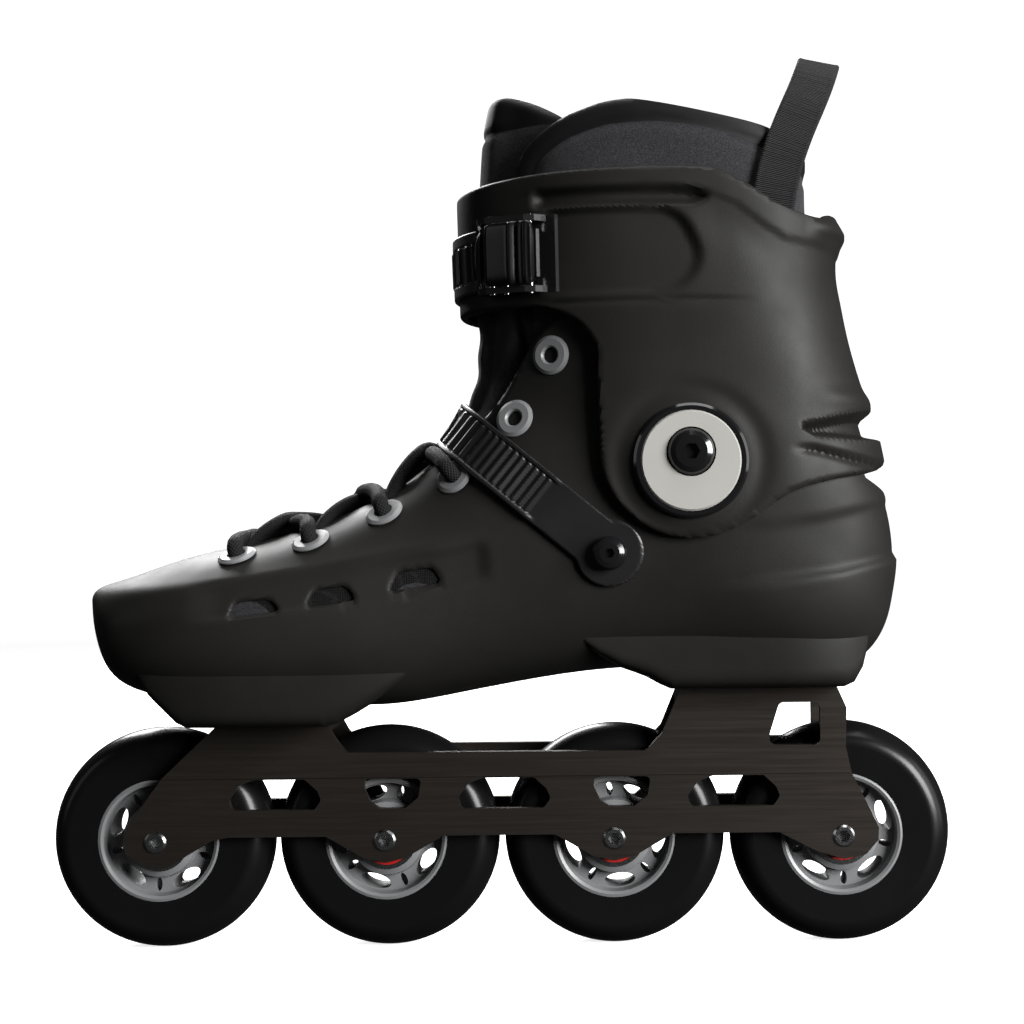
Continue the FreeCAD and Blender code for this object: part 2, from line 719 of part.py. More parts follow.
def make_eyelets(outer):
    """Twelve rimmed eyelets, one in each flap hole, and where each one stands."""
    s = size
    ring = revolved("eyelet", [
        (s.eyelet_hole, -3.4), (4.0, -3.4), (4.0, 0.35), (s.eyelet_radius, 0.35),
        (s.eyelet_radius, 0.8), (s.eyelet_radius - 1.2, 1.5), (s.eyelet_hole + 0.6, 1.5),
        (s.eyelet_hole, 0.9)])
    copies, places = [], {}
    for side in (-1, 1):
        for i, (x, z) in enumerate(EYELETS):
            point, normal = surface_point(outer, x, z, side)
            places[side, i] = (point, normal)
            name = f"eyelet_copy_{side + 1}_{i}"
            copies.append(copy_of(ring, Placement(point, to_normal(normal)), name))
    node(group("lace_eyelets", copies))
    return places


# ---------------------------------------------------------------- cuff

CUFF_OUTLINE = ((-40.0, 227.0), (20.0, 227.0), (31.0, 220.5), (37.4, 211.9), (36.8, 204.8),
                (37.6, 171.6), (41.1, 162.1), (46.5, 155.6), (52.8, 150.7), (60.0, 147.6),
                (68.2, 146.4), (78.9, 148.0), (90.8, 153.8), (105.2, 163.8), (118.2, 166.6),
                (136.0, 170.4), (150.0, 174.0), (150.0, 252.0), (124.7, 254.2), (118.0, 262.5),
                (113.8, 257.0), (100.7, 259.7), (90.0, 266.4), (80.5, 271.9), (54.0, 272.4),
                (-40.0, 271.0))


def make_cuff():
    """Hinged cuff: a wall that follows the leg, with a flat seat for each pivot disc."""
    skin = hull(-8.0, -4.6, -4.6, 5).cut(hull(-5.0, -1.4, -1.4, 4))
    cuff = skin.common(side_prism(CUFF_OUTLINE))
    x, z = number("pivot_along"), number("pivot_height")
    for side in (-1, 1):
        out = Vector(0, side, 0)
        disc = number("disc_ring_radius")
        low = z - number("disc_drop")
        cuff = cuff.fuse(Part.makeCylinder(disc, 2.4, Vector(x, side * 47.4, low), out))
        cuff = cuff.cut(Part.makeCylinder(disc + 0.1, 12, Vector(x, side * 49.8, low), out))
        cuff = cuff.cut(Part.makeCylinder(5.05, 20, Vector(x, side * 40, z), out))
    slot = ((108.0, 184.0), (114.7, 184.8), (131.0, 188.0), (131.0, 184.6), (112.0, 178.0),
            (109.4, 178.4))
    for side in (-1, 1):
        cuff = cuff.cut(side_prism(slot, 30.0, side * 46.0))
    return cuff


def make_pivots():
    """Rings and discs on the cuff, and the two screws that it turns on."""
    s = size
    seat = 49.9
    ring = revolved("pivot_ring", [
        (s.disc_radius + 0.15, seat), (s.disc_ring_radius, seat), (s.disc_ring_radius, 51.6),
        (s.disc_ring_radius - 0.9, 52.4), (s.disc_radius + 0.15, 52.4)])
    disc = revolved("pivot_disc", [
        (0, seat), (s.disc_radius, seat), (s.disc_radius, 52.0), (s.disc_radius - 0.6, 52.6),
        (0, 52.6)])
    hole = new_sketch(disc, "XZ_Plane", "pivot_disc_hole")
    circle(hole, 0, number("disc_drop"), 8.4)
    both_ways(disc, "Pocket", hole, 120.0)
    pin = s.pivot_pin_radius
    screw = revolved("pivot_screw", [
        (0, 39.6), (8.6, 39.6), (8.6, 41.2), (pin, 41.2), (pin, 50.0), (7.85, 50.0),
        (7.85, 53.0), (7.1, 54.2), (5.4, 55.1), (0, 55.5)])
    hexagonal_end(screw, 5.0, 55.5, 2.4)
    here = Vector(number("pivot_along"), 0, number("pivot_height"))
    low = here - Vector(0, 0, number("disc_drop"))
    for template, label, place in ((ring, "pivot_rings", low), (disc, "pivot_discs", low),
                                   (screw, "pivot_screws", here)):
        copies = [copy_of(template, Placement(place, Rotation(Vector(0, 0, 1), turn)),
                          f"{label}_{turn}") for turn in (0, 180)]
        node(group(label, copies))


def hexagonal_end(body, flats, face, depth):
    """Cuts a hexagon socket into the +Y end of a revolved body."""
    sketch = new_sketch(body, "XZ_Plane", f"{body.Label}_socket")
    sketch.AttachmentOffset = Placement(Vector(0, 0, -face), Rotation())
    hexagon(sketch, flats)
    cut = body.newObject("PartDesign::Pocket", f"{body.Label}_socket_cut")
    cut.Profile = sketch
    cut.Midplane = True
    cut.Length = 2 * depth
    doc.recompute()


# ---------------------------------------------------------------- soft parts

LINER_OPEN = ((-150.0, 128.0), (-104.0, 133.0), (-60.0, 136.0), (-20.0, 150.0), (12.0, 182.0),
              (26.0, 215.0), (30.0, 330.0), (-150.0, 330.0))
LINER_LOWER = ((-160.0, 80.0), (160.0, 80.0), (160.0, 171.5), (68.6, 174.5), (52.0, 184.0),
               (28.0, 221.0), (-160.0, 221.0))
COLLAR_REGION = ((-40.0, 233.0), (36.0, 233.0), (60.0, 188.5), (68.6, 182.0), (160.0, 181.0),
                 (160.0, 281.0), (117.8, 281.0), (108.0, 286.0), (96.0, 292.0), (82.4, 295.5),
                 (60.0, 297.7), (42.0, 296.5), (31.0, 292.5), (26.0, 286.0), (26.0, 260.0),
                 (-40.0, 260.0))
TONGUE_REGION = ((-160.0, 137.0), (-100.0, 134.2), (-60.0, 137.8), (-22.0, 151.2),
                 (9.0, 184.0), (23.0, 224.0), (24.0, 330.0), (-160.0, 330.0))
FOOTBED_REGION = ((-128.0, 112.0), (-113.0, 107.4), (-88.0, 105.8), (-62.0, 105.0),
                  (-38.0, 104.8), (-12.0, 108.6), (16.0, 113.6), (48.0, 116.9),
                  (124.0, 117.2), (132.0, 121.0), (132.0, 80.0), (-128.0, 80.0))


def liner_pockets(outer, places):
    """Hollows in the foam for the heads of the bolts, the strap screw and the eyelets."""
    pockets = []
    for place, deck in (("front_bolt_place", "front_deck_under"),
                        ("rear_bolt_place", "rear_deck_under")):
        low = Vector(number(place), 0, 70)
        pockets.append(Part.makeCylinder(8.5, number(deck) + 24.2 - low.z, low))
    x, z = number("strap_pivot_along"), number("strap_pivot_height")
    point, normal = surface_point(outer, x, z, -1)
    pockets.append(Part.makeCylinder(5.8, 20, Vector(x, point.y + 8.5, z), Vector(0, -1, 0)))
    for point, normal in places.values():
        pockets.append(Part.makeCylinder(4.4, 3, point - normal * 4.8, normal))
    return pockets


def make_liner():
    """Foam liner in two pieces, one in the shell and one that moves with the cuff."""
    wall = hull(3.4, 7.4, 3.4, 2).cut(hull(10.0, 12.0, 9.5, 3))
    throat = side_prism(LINER_OPEN, 31.0)
    boot = wall.cut(throat).common(side_prism(LINER_LOWER))
    collar = hull(4.6, 8.2, 4.6, 5).cut(hull(10.0, 12.5, 9.5, 4)).cut(throat)
    collar = collar.common(side_prism(COLLAR_REGION))
    for side in (-1, 1):
        low = Vector(number("pivot_along"), side * 38.0, number("pivot_height"))
        screw = Part.makeCylinder(9.2, 10, low, Vector(0, side, 0))
        boot = boot.cut(screw)
        collar = collar.cut(screw)
    return boot, collar


def make_tongue():
    """Padded tongue under the laces, and its thicker middle between the flaps."""
    inner = hull(11.0, 12.0, 9.5, 3)
    wide = hull(3.6, 7.6, 3.6, 2).cut(inner).common(side_prism(TONGUE_REGION, 28.0))
    middle = hull(0.8, 7.6, 0.8, 2).cut(inner).common(side_prism(TONGUE_REGION, 13.5))
    low = side_prism(((-110.0, 100.0), (40.0, 100.0), (40.0, 330.0), (-110.0, 330.0)))
    middle = middle.common(side_prism(((-102.0, 134.0), (10.5, 134.0), (10.5, 330.0),
                                       (-102.0, 330.0))))
    top = hull(0.6, 7.6, 1.5, 8).cut(inner).common(side_prism(
        ((-40.0, 228.0), (23.0, 228.0), (23.0, 330.0), (-40.0, 330.0)), 27.0))
    return wide.common(low).fuse(middle.common(low)).fuse(top)


# ---------------------------------------------------------------- buckles and straps

BUCKLE_PINS = ((-5.0, 7.4, 1.25), (0.2, 6.3, 1.0), (9.9, 5.6, 1.0))


def buckle_base():
    """Channel that holds the buckle's pins and guides the strap."""
    body = new_body("buckle_base")
    ears = new_sketch(body, "XY_Plane", "buckle_base_ears")
    polygon(ears, [(-13.0, 0.1), (17.6, 0.1), (17.6, 2.0), (14.0, 2.0), (12.6, 7.0),
                   (9.6, 9.0), (-6.0, 10.0), (-10.0, 8.6), (-13.0, 5.0)])
    both_ways(body, "Pad", ears, 26.0)
    room = new_sketch(body, "XY_Plane", "buckle_base_room")
    polygon(room, [(-20, 2.0), (30, 2.0), (30, 20), (-20, 20)])
    both_ways(body, "Pocket", room, 21.8)
    bridge = new_sketch(body, "XY_Plane", "buckle_base_bridge")
    polygon(bridge, [(-13.0, 5.0), (-10.0, 5.0), (-8.8, 6.4), (-10.0, 8.2), (-11.6, 7.6)])
    both_ways(body, "Pad", bridge, 22.0)
    holes = new_sketch(body, "XY_Plane", "buckle_base_holes")
    for x, y, radius in BUCKLE_PINS:
        circle(holes, x, y, radius + 0.02)
    both_ways(body, "Pocket", holes, 40.0)
    return body


def buckle_lever():
    """Grip lever: a ribbed top plate with two cheeks round its hinge pin."""
    body = new_body("buckle_lever")
    cheeks = new_sketch(body, "XY_Plane", "buckle_lever_cheeks")
    polygon(cheeks, [(-7.3, 6.9), (-6.2, 5.3), (-4.4, 5.0), (-2.4, 6.0), (-1.8, 8.4),
                     (-3.0, 10.4), (-5.6, 10.6), (-7.2, 9.2)])
    both_ways(body, "Pad", cheeks, 21.2)
    room = new_sketch(body, "XY_Plane", "buckle_lever_room")
    polygon(room, [(-9, 4), (0, 4), (0, 8.0), (-9, 8.0)])
    both_ways(body, "Pocket", room, 17.0)
    plate = new_sketch(body, "XY_Plane", "buckle_lever_plate")
    polygon(plate, [(-6.6, 8.9), (8.0, 8.6), (20.0, 7.6), (21.0, 8.4), (20.4, 9.6),
                    (19.2, 9.9), (18.6, 9.4), (17.8, 9.9), (17.0, 10.1), (16.4, 9.6),
                    (15.6, 10.2), (14.6, 10.4), (13.8, 10.0), (12.0, 10.8), (2.0, 11.6),
                    (-4.0, 11.4), (-6.6, 10.4)])
    both_ways(body, "Pad", plate, 21.2)
    hole = new_sketch(body, "XY_Plane", "buckle_lever_hole")
    x, y, radius = BUCKLE_PINS[0]
    circle(hole, x, y, radius + 0.05)
    both_ways(body, "Pocket", hole, 40.0)
    return body


def buckle_pawl():
    """Sprung catch that holds the strap's teeth."""
    body = new_body("buckle_pawl")
    side = new_sketch(body, "XY_Plane", "buckle_pawl_side")
    x, y, radius = BUCKLE_PINS[2]
    polygon(side, [(5.0, 4.75), (8.4, 4.8), (11.2, 4.75), (13.6, 5.6), (13.4, 7.2),
                   (9.8, 7.6), (6.6, 6.4)])
    both_ways(body, "Pad", side, 16.0)
    hole = new_sketch(body, "XY_Plane", "buckle_pawl_hole")
    circle(hole, x, y, radius - 0.25 + 0.05)
    both_ways(body, "Pocket", hole, 40.0)
    return body


def buckle_pins():
    """Three cross pins, the last one stepped down where the catch turns on it."""
    pins = []
    for i, (x, y, radius) in enumerate(BUCKLE_PINS):
        body = new_body(f"buckle_pin_{i}")
        section = new_sketch(body, "XY_Plane", f"buckle_pin_{i}_section")
        circle(section, x, y, radius - (0.25 if i == 2 else 0))
        both_ways(body, "Pad", section, 26.6)
        pins.append(body)
    return pins


def strap_tail():
    """Flat end of a ladder strap, with its teeth, where it runs through the buckle."""
    body = new_body("strap_tail")
    side = new_sketch(body, "XY_Plane", "strap_tail_side")
    polygon(side, [(-19.0, -2.4), (-13.8, 2.2), (19.0, 2.2), (19.0, 3.4), (-14.0, 3.4),
                   (-18.4, 0.6), (-19.8, -0.2)])
    both_ways(body, "Pad", side, 17.6)
    teeth = new_sketch(body, "XY_Plane", "strap_tail_teeth")
    for k in range(11):
        start = 16.6 - 2.9 * k
        polygon(teeth, [(start, 3.3), (start - 1.9, 3.3), (start - 1.6, 4.4),
                        (start - 0.9, 4.4)])
    both_ways(body, "Pad", teeth, 11.0)
    return body


def place_buckle(prefix, frame, parts):
    """Copies of the buckle's parts in one place, each as a node."""
    base, lever, pawl, pins = parts
    node(group(f"{prefix}_buckle_base", [copy_of(base, frame, f"{prefix}_base_copy")]))
    node(group(f"{prefix}_buckle_lever", [copy_of(lever, frame, f"{prefix}_lever_copy")]))
    node(group(f"{prefix}_buckle_pawl", [copy_of(pawl, frame, f"{prefix}_pawl_copy")]))
    copies = [copy_of(p, frame, f"{prefix}_pin_copy_{i}") for i, p in enumerate(pins)]
    node(group(f"{prefix}_buckle_pins", copies))


def frame_on(surface, x, z, side, along, lift=0.0):
    """Placement on a surface: +Y outwards, +X as near as possible to a direction."""
    point, normal = surface_point(surface, x, z, side)
    across = along.cross(normal).normalize()
    forward = normal.cross(across).normalize()
    matrix = FreeCAD.Matrix()
    for column, axis in enumerate((forward, normal, across)):
        for row_index, part in enumerate(axis):
            setattr(matrix, f"A{row_index + 1}{column + 1}", part)
    return Placement(point + normal * lift, Placement(matrix).Rotation)


def toothed_strap(low, high, region, first):
    """A strap that follows the boot between two distances from it, inside a region."""
    band = hull(*high, first).cut(hull(*low, first))
    return band.common(region)


# ---------------------------------------------------------------- laces and pull loop

def rounded_route(points, radius):
    """Straight runs joined by tangent arcs, as one wire."""
    edges = []
    start = points[0]
    for before, corner, after in zip(points, points[1:], points[2:]):
        a = (before - corner).normalize()
        b = (after - corner).normalize()
        half = a.getAngle(b) / 2
        reach = min(radius / math.tan(half), 0.45 * (before - corner).Length,
                    0.45 * (after - corner).Length)
        bow = (a + b).normalize()
        first, last = corner + a * reach, corner + b * reach
        middle = corner + bow * (reach / math.cos(half) - reach * math.tan(half))
        edges.append(Part.makeLine(start, first))
        edges.append(Part.Arc(first, middle, last).toShape())
        start = last
    edges.append(Part.makeLine(start, points[-1]))
    return Part.Wire(edges)


def tube(route, radius):
    """A round tube along a wire."""
    start = route.Vertexes[0].Point
    ahead = route.Edges[0].tangentAt(route.Edges[0].FirstParameter)
    ring = Part.Wire([Part.makeCircle(radius, start, ahead)])
    return route.makePipeShell([ring], True, True)


def lace_route(places, sign):
    """One half of the lace, from the middle of the first bar up to the fourth eyelets.

    It goes down through each eyelet, comes up in the throat and crosses to the next eyelet on
    the other side.
    """
    lift = number("lace_radius") + 2.4
    top = (places[-1, 0][0] + places[1, 0][0]) * 0.5
    points = [top + Vector(0, 0, 9.5)]
    side = sign
    for i in range(4):
        point, normal = places[side, i]
        inward = Vector(0, -side, 0)
        points.append(point + normal * lift + inward * 3.0)
        points.append(point - normal * 0.5)
        points.append(point - normal * 6.4 + inward * 3.0)
        if i < 3:
            onward, facing = places[-side, i + 1]
            middle = point * 0.5 + onward * 0.5
            points.append(point + inward * 9.5 - normal * 3.0)
            rise = 10.5 if sign > 0 else 14.5
            lifted = Vector(middle.x, 0, middle.z) + (normal + facing).normalize() * rise
            points.append(lifted)
            side = -side
    return points


def make_lace(places):
    """A round lace, laced over the tongue, with both ends tucked behind the flaps."""
    radius = number("lace_radius")
    halves = [tube(rounded_route(lace_route(places, sign), 3.0), radius) for sign in (-1, 1)]
    return halves[0].fuse(halves[1])


def make_pull_loop():
    """Flat webbing loop at the back of the cuff's rim."""
    spine = ((97.0, -42.6, 256.0), (99.5, -42.0, 270.0), (105.5, -38.0, 288.0),
             (112.0, -31.0, 303.0), (116.0, -20.5, 313.5), (117.6, -8.0, 317.6))
    spine = [Vector(*p) for p in spine]
    spine += [Vector(p.x, -p.y, p.z) for p in reversed(spine)]
    curve = Part.BSplineCurve()
    curve.interpolate(spine)
    rings = []
    steps = 24
    for k in range(steps + 1):
        u = curve.FirstParameter + (curve.LastParameter - curve.FirstParameter) * k / steps
        here, ahead = curve.value(u), Vector(*curve.tangent(u)[0])
        across = Vector(0.98, 0, -0.2)
        across = (across - ahead * across.dot(ahead)).normalize() * 7.5
        thick = ahead.cross(across).normalize() * 0.9
        corners = [here + across + thick, here - across + thick, here - across - thick,
                   here + across - thick]
        rings.append(Part.makePolygon(corners + corners[:1]))
    return Part.makeLoft(rings, True, True)


# ---------------------------------------------------------------- build

def make_boot():
    """Every part above the frame."""
    outer = hull(0, 0, 0)
    shell = node(fixed_shape("boot_shell", make_shell(outer)))
    node(fixed_shape("vent_mesh", make_vent_mesh()))
    places = make_eyelets(outer)
    cuff = node(fixed_shape("cuff", make_cuff()))
    make_pivots()
    boot, collar = make_liner()
    footbed = hull(10.4, 12.4, 10.0, 3).common(side_prism(FOOTBED_REGION))
    tongue = make_tongue()
    pivot = Vector(number("pivot_along"), 0, number("pivot_height"))
    for lean in (3.5, 7.0, 10.5):
        swept = shell.Shape.copy()
        swept.rotate(pivot, Vector(0, 1, 0), lean)
        collar = collar.cut(swept)
    for pocket in liner_pockets(outer, places):
        boot, footbed, tongue = boot.cut(pocket), footbed.cut(pocket), tongue.cut(pocket)
    node(fixed_shape("liner_boot", boot))
    node(fixed_shape("liner_collar", collar))
    node(fixed_shape("footbed", footbed))
    node(fixed_shape("tongue", tongue))
    node(fixed_shape("lace", make_lace(places)))
    loop = make_pull_loop().cut(cuff.Shape)
    node(fixed_shape("pull_loop", max(loop.Solids, key=lambda solid: solid.Volume)))
    make_straps(outer, places)


def make_screws():
    """Bolts that hold the frame to the boot, and the screws of the instep strap."""
    s = size
    bolt = revolved("mount_bolt", [
        (0, -4.4), (5.2, -4.4), (6.4, -3.4), (6.4, 0), (s.axle_hole, 0), (s.axle_hole, 21.0),
        (8.0, 21.0), (8.0, 23.5), (0, 23.5)])
    upright = Rotation(Vector(1, 0, 0), 90)
    spots = (("front_bolt_place", "front_deck_under"), ("rear_bolt_place", "rear_deck_under"))
    copies = [copy_of(bolt, Placement(Vector(number(x), 0, number(z)), upright), f"bolt_{x}")
              for x, z in spots]
    node(group("mount_bolts", copies))

    screw = revolved("strap_screw", [
        (0, -8.0), (5.0, -8.0), (5.0, -6.6), (2.9, -6.6), (2.9, 3.6), (5.85, 3.6), (5.85, 4.6),
        (5.0, 5.8), (3.4, 6.4), (0, 6.6)])
    hexagonal_end(screw, 3.0, 6.6, 2.0)
    return screw


def make_straps(outer, places):
    """Both ladder straps with their buckles and screws."""
    buckle = (buckle_base(), buckle_lever(), buckle_pawl(), buckle_pins())
    tail = strap_tail()
    skin = hull(-8.0, -4.6, -4.6, 5)
    ladder_middle = (number("ladder_low") + number("ladder_high")) / 2
    spot = frame_on(skin, 9.5, ladder_middle, -1, Vector(1, -0.2, 0))
    place_buckle("cuff", spot, buckle)
    half = (number("ladder_high") - number("ladder_low")) / 2
    front = side_prism(((-40.0, ladder_middle - half), (60.0, ladder_middle - half),
                        (60.0, ladder_middle + half), (-40.0, ladder_middle + half)))
    edge = spot.multVec(Vector(-17.5, 0, 0))
    far = turned_block((edge.x + 45.0, edge.y - 45.0, ladder_middle), (90.0, 90.0, 60.0))
    band = toothed_strap((-8.3, -4.9, -4.9), (-10.4, -7.0, -7.0), front.cut(far), 5)
    flat = tail.Shape.copy()
    flat.Placement = spot
    node(fixed_shape("cuff_ladder_strap", band.fuse(flat)))

    start = Vector(number("strap_pivot_along"), 0, number("strap_pivot_height"))
    run = Vector(-0.773, 0, 0.634)
    seat = start + run * 36.0
    spot = frame_on(outer, seat.x, seat.z, 1, run * -1)
    place_buckle("instep", spot, buckle)
    end = start + run * 90.0
    width = number("strap_half_width")
    slot = capsule((start.x, start.z), (end.x, end.z), width)
    edge = spot.multVec(Vector(-17.5, 0, 0))
    beyond = turned_block((edge.x + 60.0, edge.y + 60.0, edge.z - 20), (140.0, 120.0, 160.0))
    band = toothed_strap((-0.8, -0.8, -0.8), (-3.0, -3.0, -3.0), slot.cut(beyond), 5)
    hole = Part.makeCylinder(3.1, 30, Vector(start.x, -30, start.z), Vector(0, -1, 0))
    flat = tail.Shape.copy()
    flat.Placement = spot
    strap = band.fuse(flat).cut(hole)
    for point, normal in places.values():
        low = point - normal * 0.5
        strap = strap.cut(Part.makeCylinder(number("eyelet_radius") + 0.2, 2.3, low, normal))
    node(fixed_shape("instep_ladder_strap", strap))
    screw = make_screws()
    point, normal = surface_point(outer, start.x, start.z, -1)
    near = copy_of(screw, Placement(point, Rotation(Vector(0, 1, 0), Vector(0, -1, 0))), "near")
    node(group("strap_screws", [near]))


make_wheels()
make_axles()
make_inner_rings()
make_frame()
make_boot()
doc.recompute()

for thing in doc.Objects:
    if "Invalid" in thing.State or "Error" in thing.State:
        raise RuntimeError(f"{thing.Name} is {thing.State}")
for thing in nodes:
    if thing.Shape.isNull() or not thing.Shape.isValid() or thing.Shape.Volume <= 0:
        raise RuntimeError(f"{thing.Label} has no valid solid")
    thing.Shape.exportStep(f"{PARTS_FOLDER}/{thing.Label}.step")
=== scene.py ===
import json
import math

import bpy
import numpy as np
from bpy.props import FloatProperty, FloatVectorProperty, PointerProperty
from mathutils import Matrix, Vector


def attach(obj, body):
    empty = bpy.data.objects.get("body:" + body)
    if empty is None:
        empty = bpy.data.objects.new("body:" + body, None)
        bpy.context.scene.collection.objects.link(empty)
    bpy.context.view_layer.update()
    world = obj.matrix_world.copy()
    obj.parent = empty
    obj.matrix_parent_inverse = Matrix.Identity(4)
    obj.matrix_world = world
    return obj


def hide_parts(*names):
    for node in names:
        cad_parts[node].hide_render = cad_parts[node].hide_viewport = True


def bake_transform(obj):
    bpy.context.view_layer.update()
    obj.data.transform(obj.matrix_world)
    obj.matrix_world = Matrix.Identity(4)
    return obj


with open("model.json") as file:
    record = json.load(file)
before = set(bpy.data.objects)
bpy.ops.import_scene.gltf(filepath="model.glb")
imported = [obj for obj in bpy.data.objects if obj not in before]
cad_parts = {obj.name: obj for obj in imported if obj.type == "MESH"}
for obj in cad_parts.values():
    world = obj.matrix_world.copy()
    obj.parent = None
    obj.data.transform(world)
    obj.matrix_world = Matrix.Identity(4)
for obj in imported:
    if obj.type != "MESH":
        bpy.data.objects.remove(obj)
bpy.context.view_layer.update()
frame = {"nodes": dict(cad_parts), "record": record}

bl_info = {
    "name": "Inline Skate Finish",
    "version": (1, 0, 0),
    "blender": (4, 5, 0),
    "location": "3D View > Sidebar > Skate",
    "description": "Builds the visible surfaces, soft parts and finishes of an inline skate",
    "category": "Object",
}

MM = 0.001
TAU = 2 * math.pi


# ---------------------------------------------------------------- smooth curves

def spline(knots, values):
    """Natural cubic through (knot, value) pairs: second derivatives come from one linear
    system, and each span is the usual blend of its two ends. Values may have columns."""
    x = np.asarray(knots, float)
    y = np.asarray(values, float)
    flat = y.ndim == 1
    y = y.reshape(len(x), -1)
    gap = np.diff(x)
    n = len(x)
    system = np.eye(n)
    right = np.zeros((n, y.shape[1]))
    slope = np.diff(y, axis=0) / gap[:, None]
    inner = np.arange(1, n - 1)
    system[inner, inner - 1] = gap[:-1]
    system[inner, inner] = 2 * (gap[:-1] + gap[1:])
    system[inner, inner + 1] = gap[1:]
    right[inner] = 6 * (slope[1:] - slope[:-1])
    bend = np.linalg.solve(system, right)

    def at(q):
        q = np.asarray(q, float)
        shape = q.shape
        q = q.ravel()
        k = np.clip(np.searchsorted(x, q) - 1, 0, n - 2)
        w = gap[k][:, None]
        b = ((q - x[k]) / gap[k])[:, None]
        a = 1 - b
        out = a * y[k] + b * y[k + 1]
        out += ((a ** 3 - a) * bend[k] + (b ** 3 - b) * bend[k + 1]) * w ** 2 / 6
        return out.reshape(shape) if flat else out.reshape(shape + (y.shape[1],))

    return at


def line_through(points):
    """Height as a function of x along a list of (x, z) points, level beyond its ends."""
    p = np.asarray(points, float)
    return lambda x: np.interp(x, p[:, 0], p[:, 1])


def step(value, width=1.0):
    """0 below, 1 above, with a smooth cubic rise centred on zero."""
    q = np.clip(value / width + 0.5, 0, 1)
    return q * q * (3 - 2 * q)


def outline_distance(x, z, points):
    """Signed distance from (x, z) to a closed outline, negative inside it."""
    a = np.asarray(points, float)
    b = np.roll(a, -1, axis=0)
    best = np.full(x.shape, 1e9)
    inside = np.zeros(x.shape, bool)
    for (ax, az), (bx, bz) in zip(a, b):
        ex, ez = bx - ax, bz - az
        along = np.clip(((x - ax) * ex + (z - az) * ez) / (ex * ex + ez * ez), 0, 1)
        best = np.minimum(best, np.hypot(x - ax - along * ex, z - az - along * ez))
        crosses = (az > z) != (bz > z)
        with np.errstate(divide="ignore", invalid="ignore"):
            inside ^= crosses & (x < ax + (z - az) * ex / np.where(ez == 0, 1e-9, ez))
    return np.where(inside, -best, best)


def rounded(points, radius, steps=5):
    """The outline with each corner replaced by an arc-like quadratic curve."""
    p = np.asarray(points, float)
    out = []
    for before, here, after in zip(np.roll(p, 1, axis=0), p, np.roll(p, -1, axis=0)):
        first, last = before - here, after - here
        reach_a = min(radius, 0.45 * np.hypot(*first))
        reach_b = min(radius, 0.45 * np.hypot(*last))
        start = here + first / np.hypot(*first) * reach_a
        end = here + last / np.hypot(*last) * reach_b
        q = np.linspace(0, 1, steps)[:, None]
        out.append((1 - q) ** 2 * start + 2 * q * (1 - q) * here + q * q * end)
    return np.vstack(out)


# ---------------------------------------------------------------- boot surface

# Sections of the boot from the toe to the top of the tongue: the front end (x, z) on the
# instep or shin, the back end (x, z) on the sole or heel, and the half width.
FAN = np.array((
    (-144.8, 129.0, -145.3, 126.4, 9.0),
    (-143.0, 131.2, -144.2, 119.5, 19.0),
    (-137.5, 133.5, -139.0, 104.5, 31.0),
    (-128.0, 136.8, -130.5, 95.4, 40.0),
    (-112.0, 142.0, -113.0, 91.0, 47.0),
    (-90.0, 147.2, -88.0, 89.4, 50.5),
    (-66.0, 153.6, -62.0, 88.6, 50.0),
    (-45.0, 162.5, -38.0, 88.3, 47.5),
    (-29.0, 172.0, -12.0, 92.3, 44.5),
    (-18.0, 184.0, 16.0, 97.2, 43.0),
    (-11.0, 196.0, 48.0, 100.5, 43.5),
    (-7.6, 208.0, 92.0, 100.6, 44.5),
    (-7.0, 216.0, 124.0, 100.8, 45.5),
    (-7.0, 223.0, 138.0, 112.6, 46.0),
    (-7.0, 230.0, 142.0, 126.0, 46.0),
    (-7.0, 237.0, 143.6, 140.0, 46.0),
    (-7.0, 244.0, 141.3, 157.3, 46.0),
    (-7.0, 251.0, 136.3, 171.0, 46.0),
    (-7.0, 258.0, 133.0, 185.0, 46.2),
    (-7.0, 266.0, 128.0, 201.0, 46.6),
    (-6.6, 275.0, 122.6, 220.0, 47.0),
    (-6.0, 285.0, 119.5, 240.0, 47.4),
    (-5.0, 296.0, 118.4, 262.0, 47.6),
    (-2.6, 307.0, 117.8, 285.0, 47.6),
))
FRONT_POWER = 2.15
BACK_POWER = 2.9

_fan_at = spline(np.arange(len(FAN)), FAN)


def even_rows(count, first, last):
    """Fan positions from first to last, spaced evenly along the mean of both end lines."""
    s = np.linspace(first, last, 400)
    ends = _fan_at(s)
    move = np.hypot(*np.diff(ends[:, 0:2], axis=0).T) + np.hypot(*np.diff(ends[:, 2:4], axis=0).T)
    travelled = np.concatenate(([0], np.cumsum(move)))
    return np.interp(np.linspace(0, travelled[-1], count), travelled, s)


def boot(s, t, front=0.0, back=0.0, side=0.0):
    """Point of the boot's fan surface, grown outwards by three amounts.

    Section s is a line from the instep to the sole with a half width. Round it, t runs over a
    superellipse: u = -sign(cos t) |cos t|^(2/p) goes from the instep to the sole, and
    y = half width * sign(sin t) |sin t|^(2/p), with a rounder power p on the instep side."""
    fx, fz, bx, bz, half = np.moveaxis(_fan_at(s), -1, 0)
    ex, ez = bx - fx, bz - fz
    length = np.hypot(ex, ez)
    ex, ez = ex / length, ez / length
    room = length + front + back
    c, w = -np.cos(t), np.sin(t)
    mix = 0.5 - 0.5 * np.tanh(-c * 3.0)
    power = FRONT_POWER + (BACK_POWER - FRONT_POWER) * mix
    u = np.sign(c) * np.abs(c) ** (2 / power)
    v = np.sign(w) * np.abs(w) ** (2 / power)
    along = -front + room * (0.5 + 0.5 * u)
    return np.stack((fx + ex * along, (half + side) * v, fz + ez * along), -1)


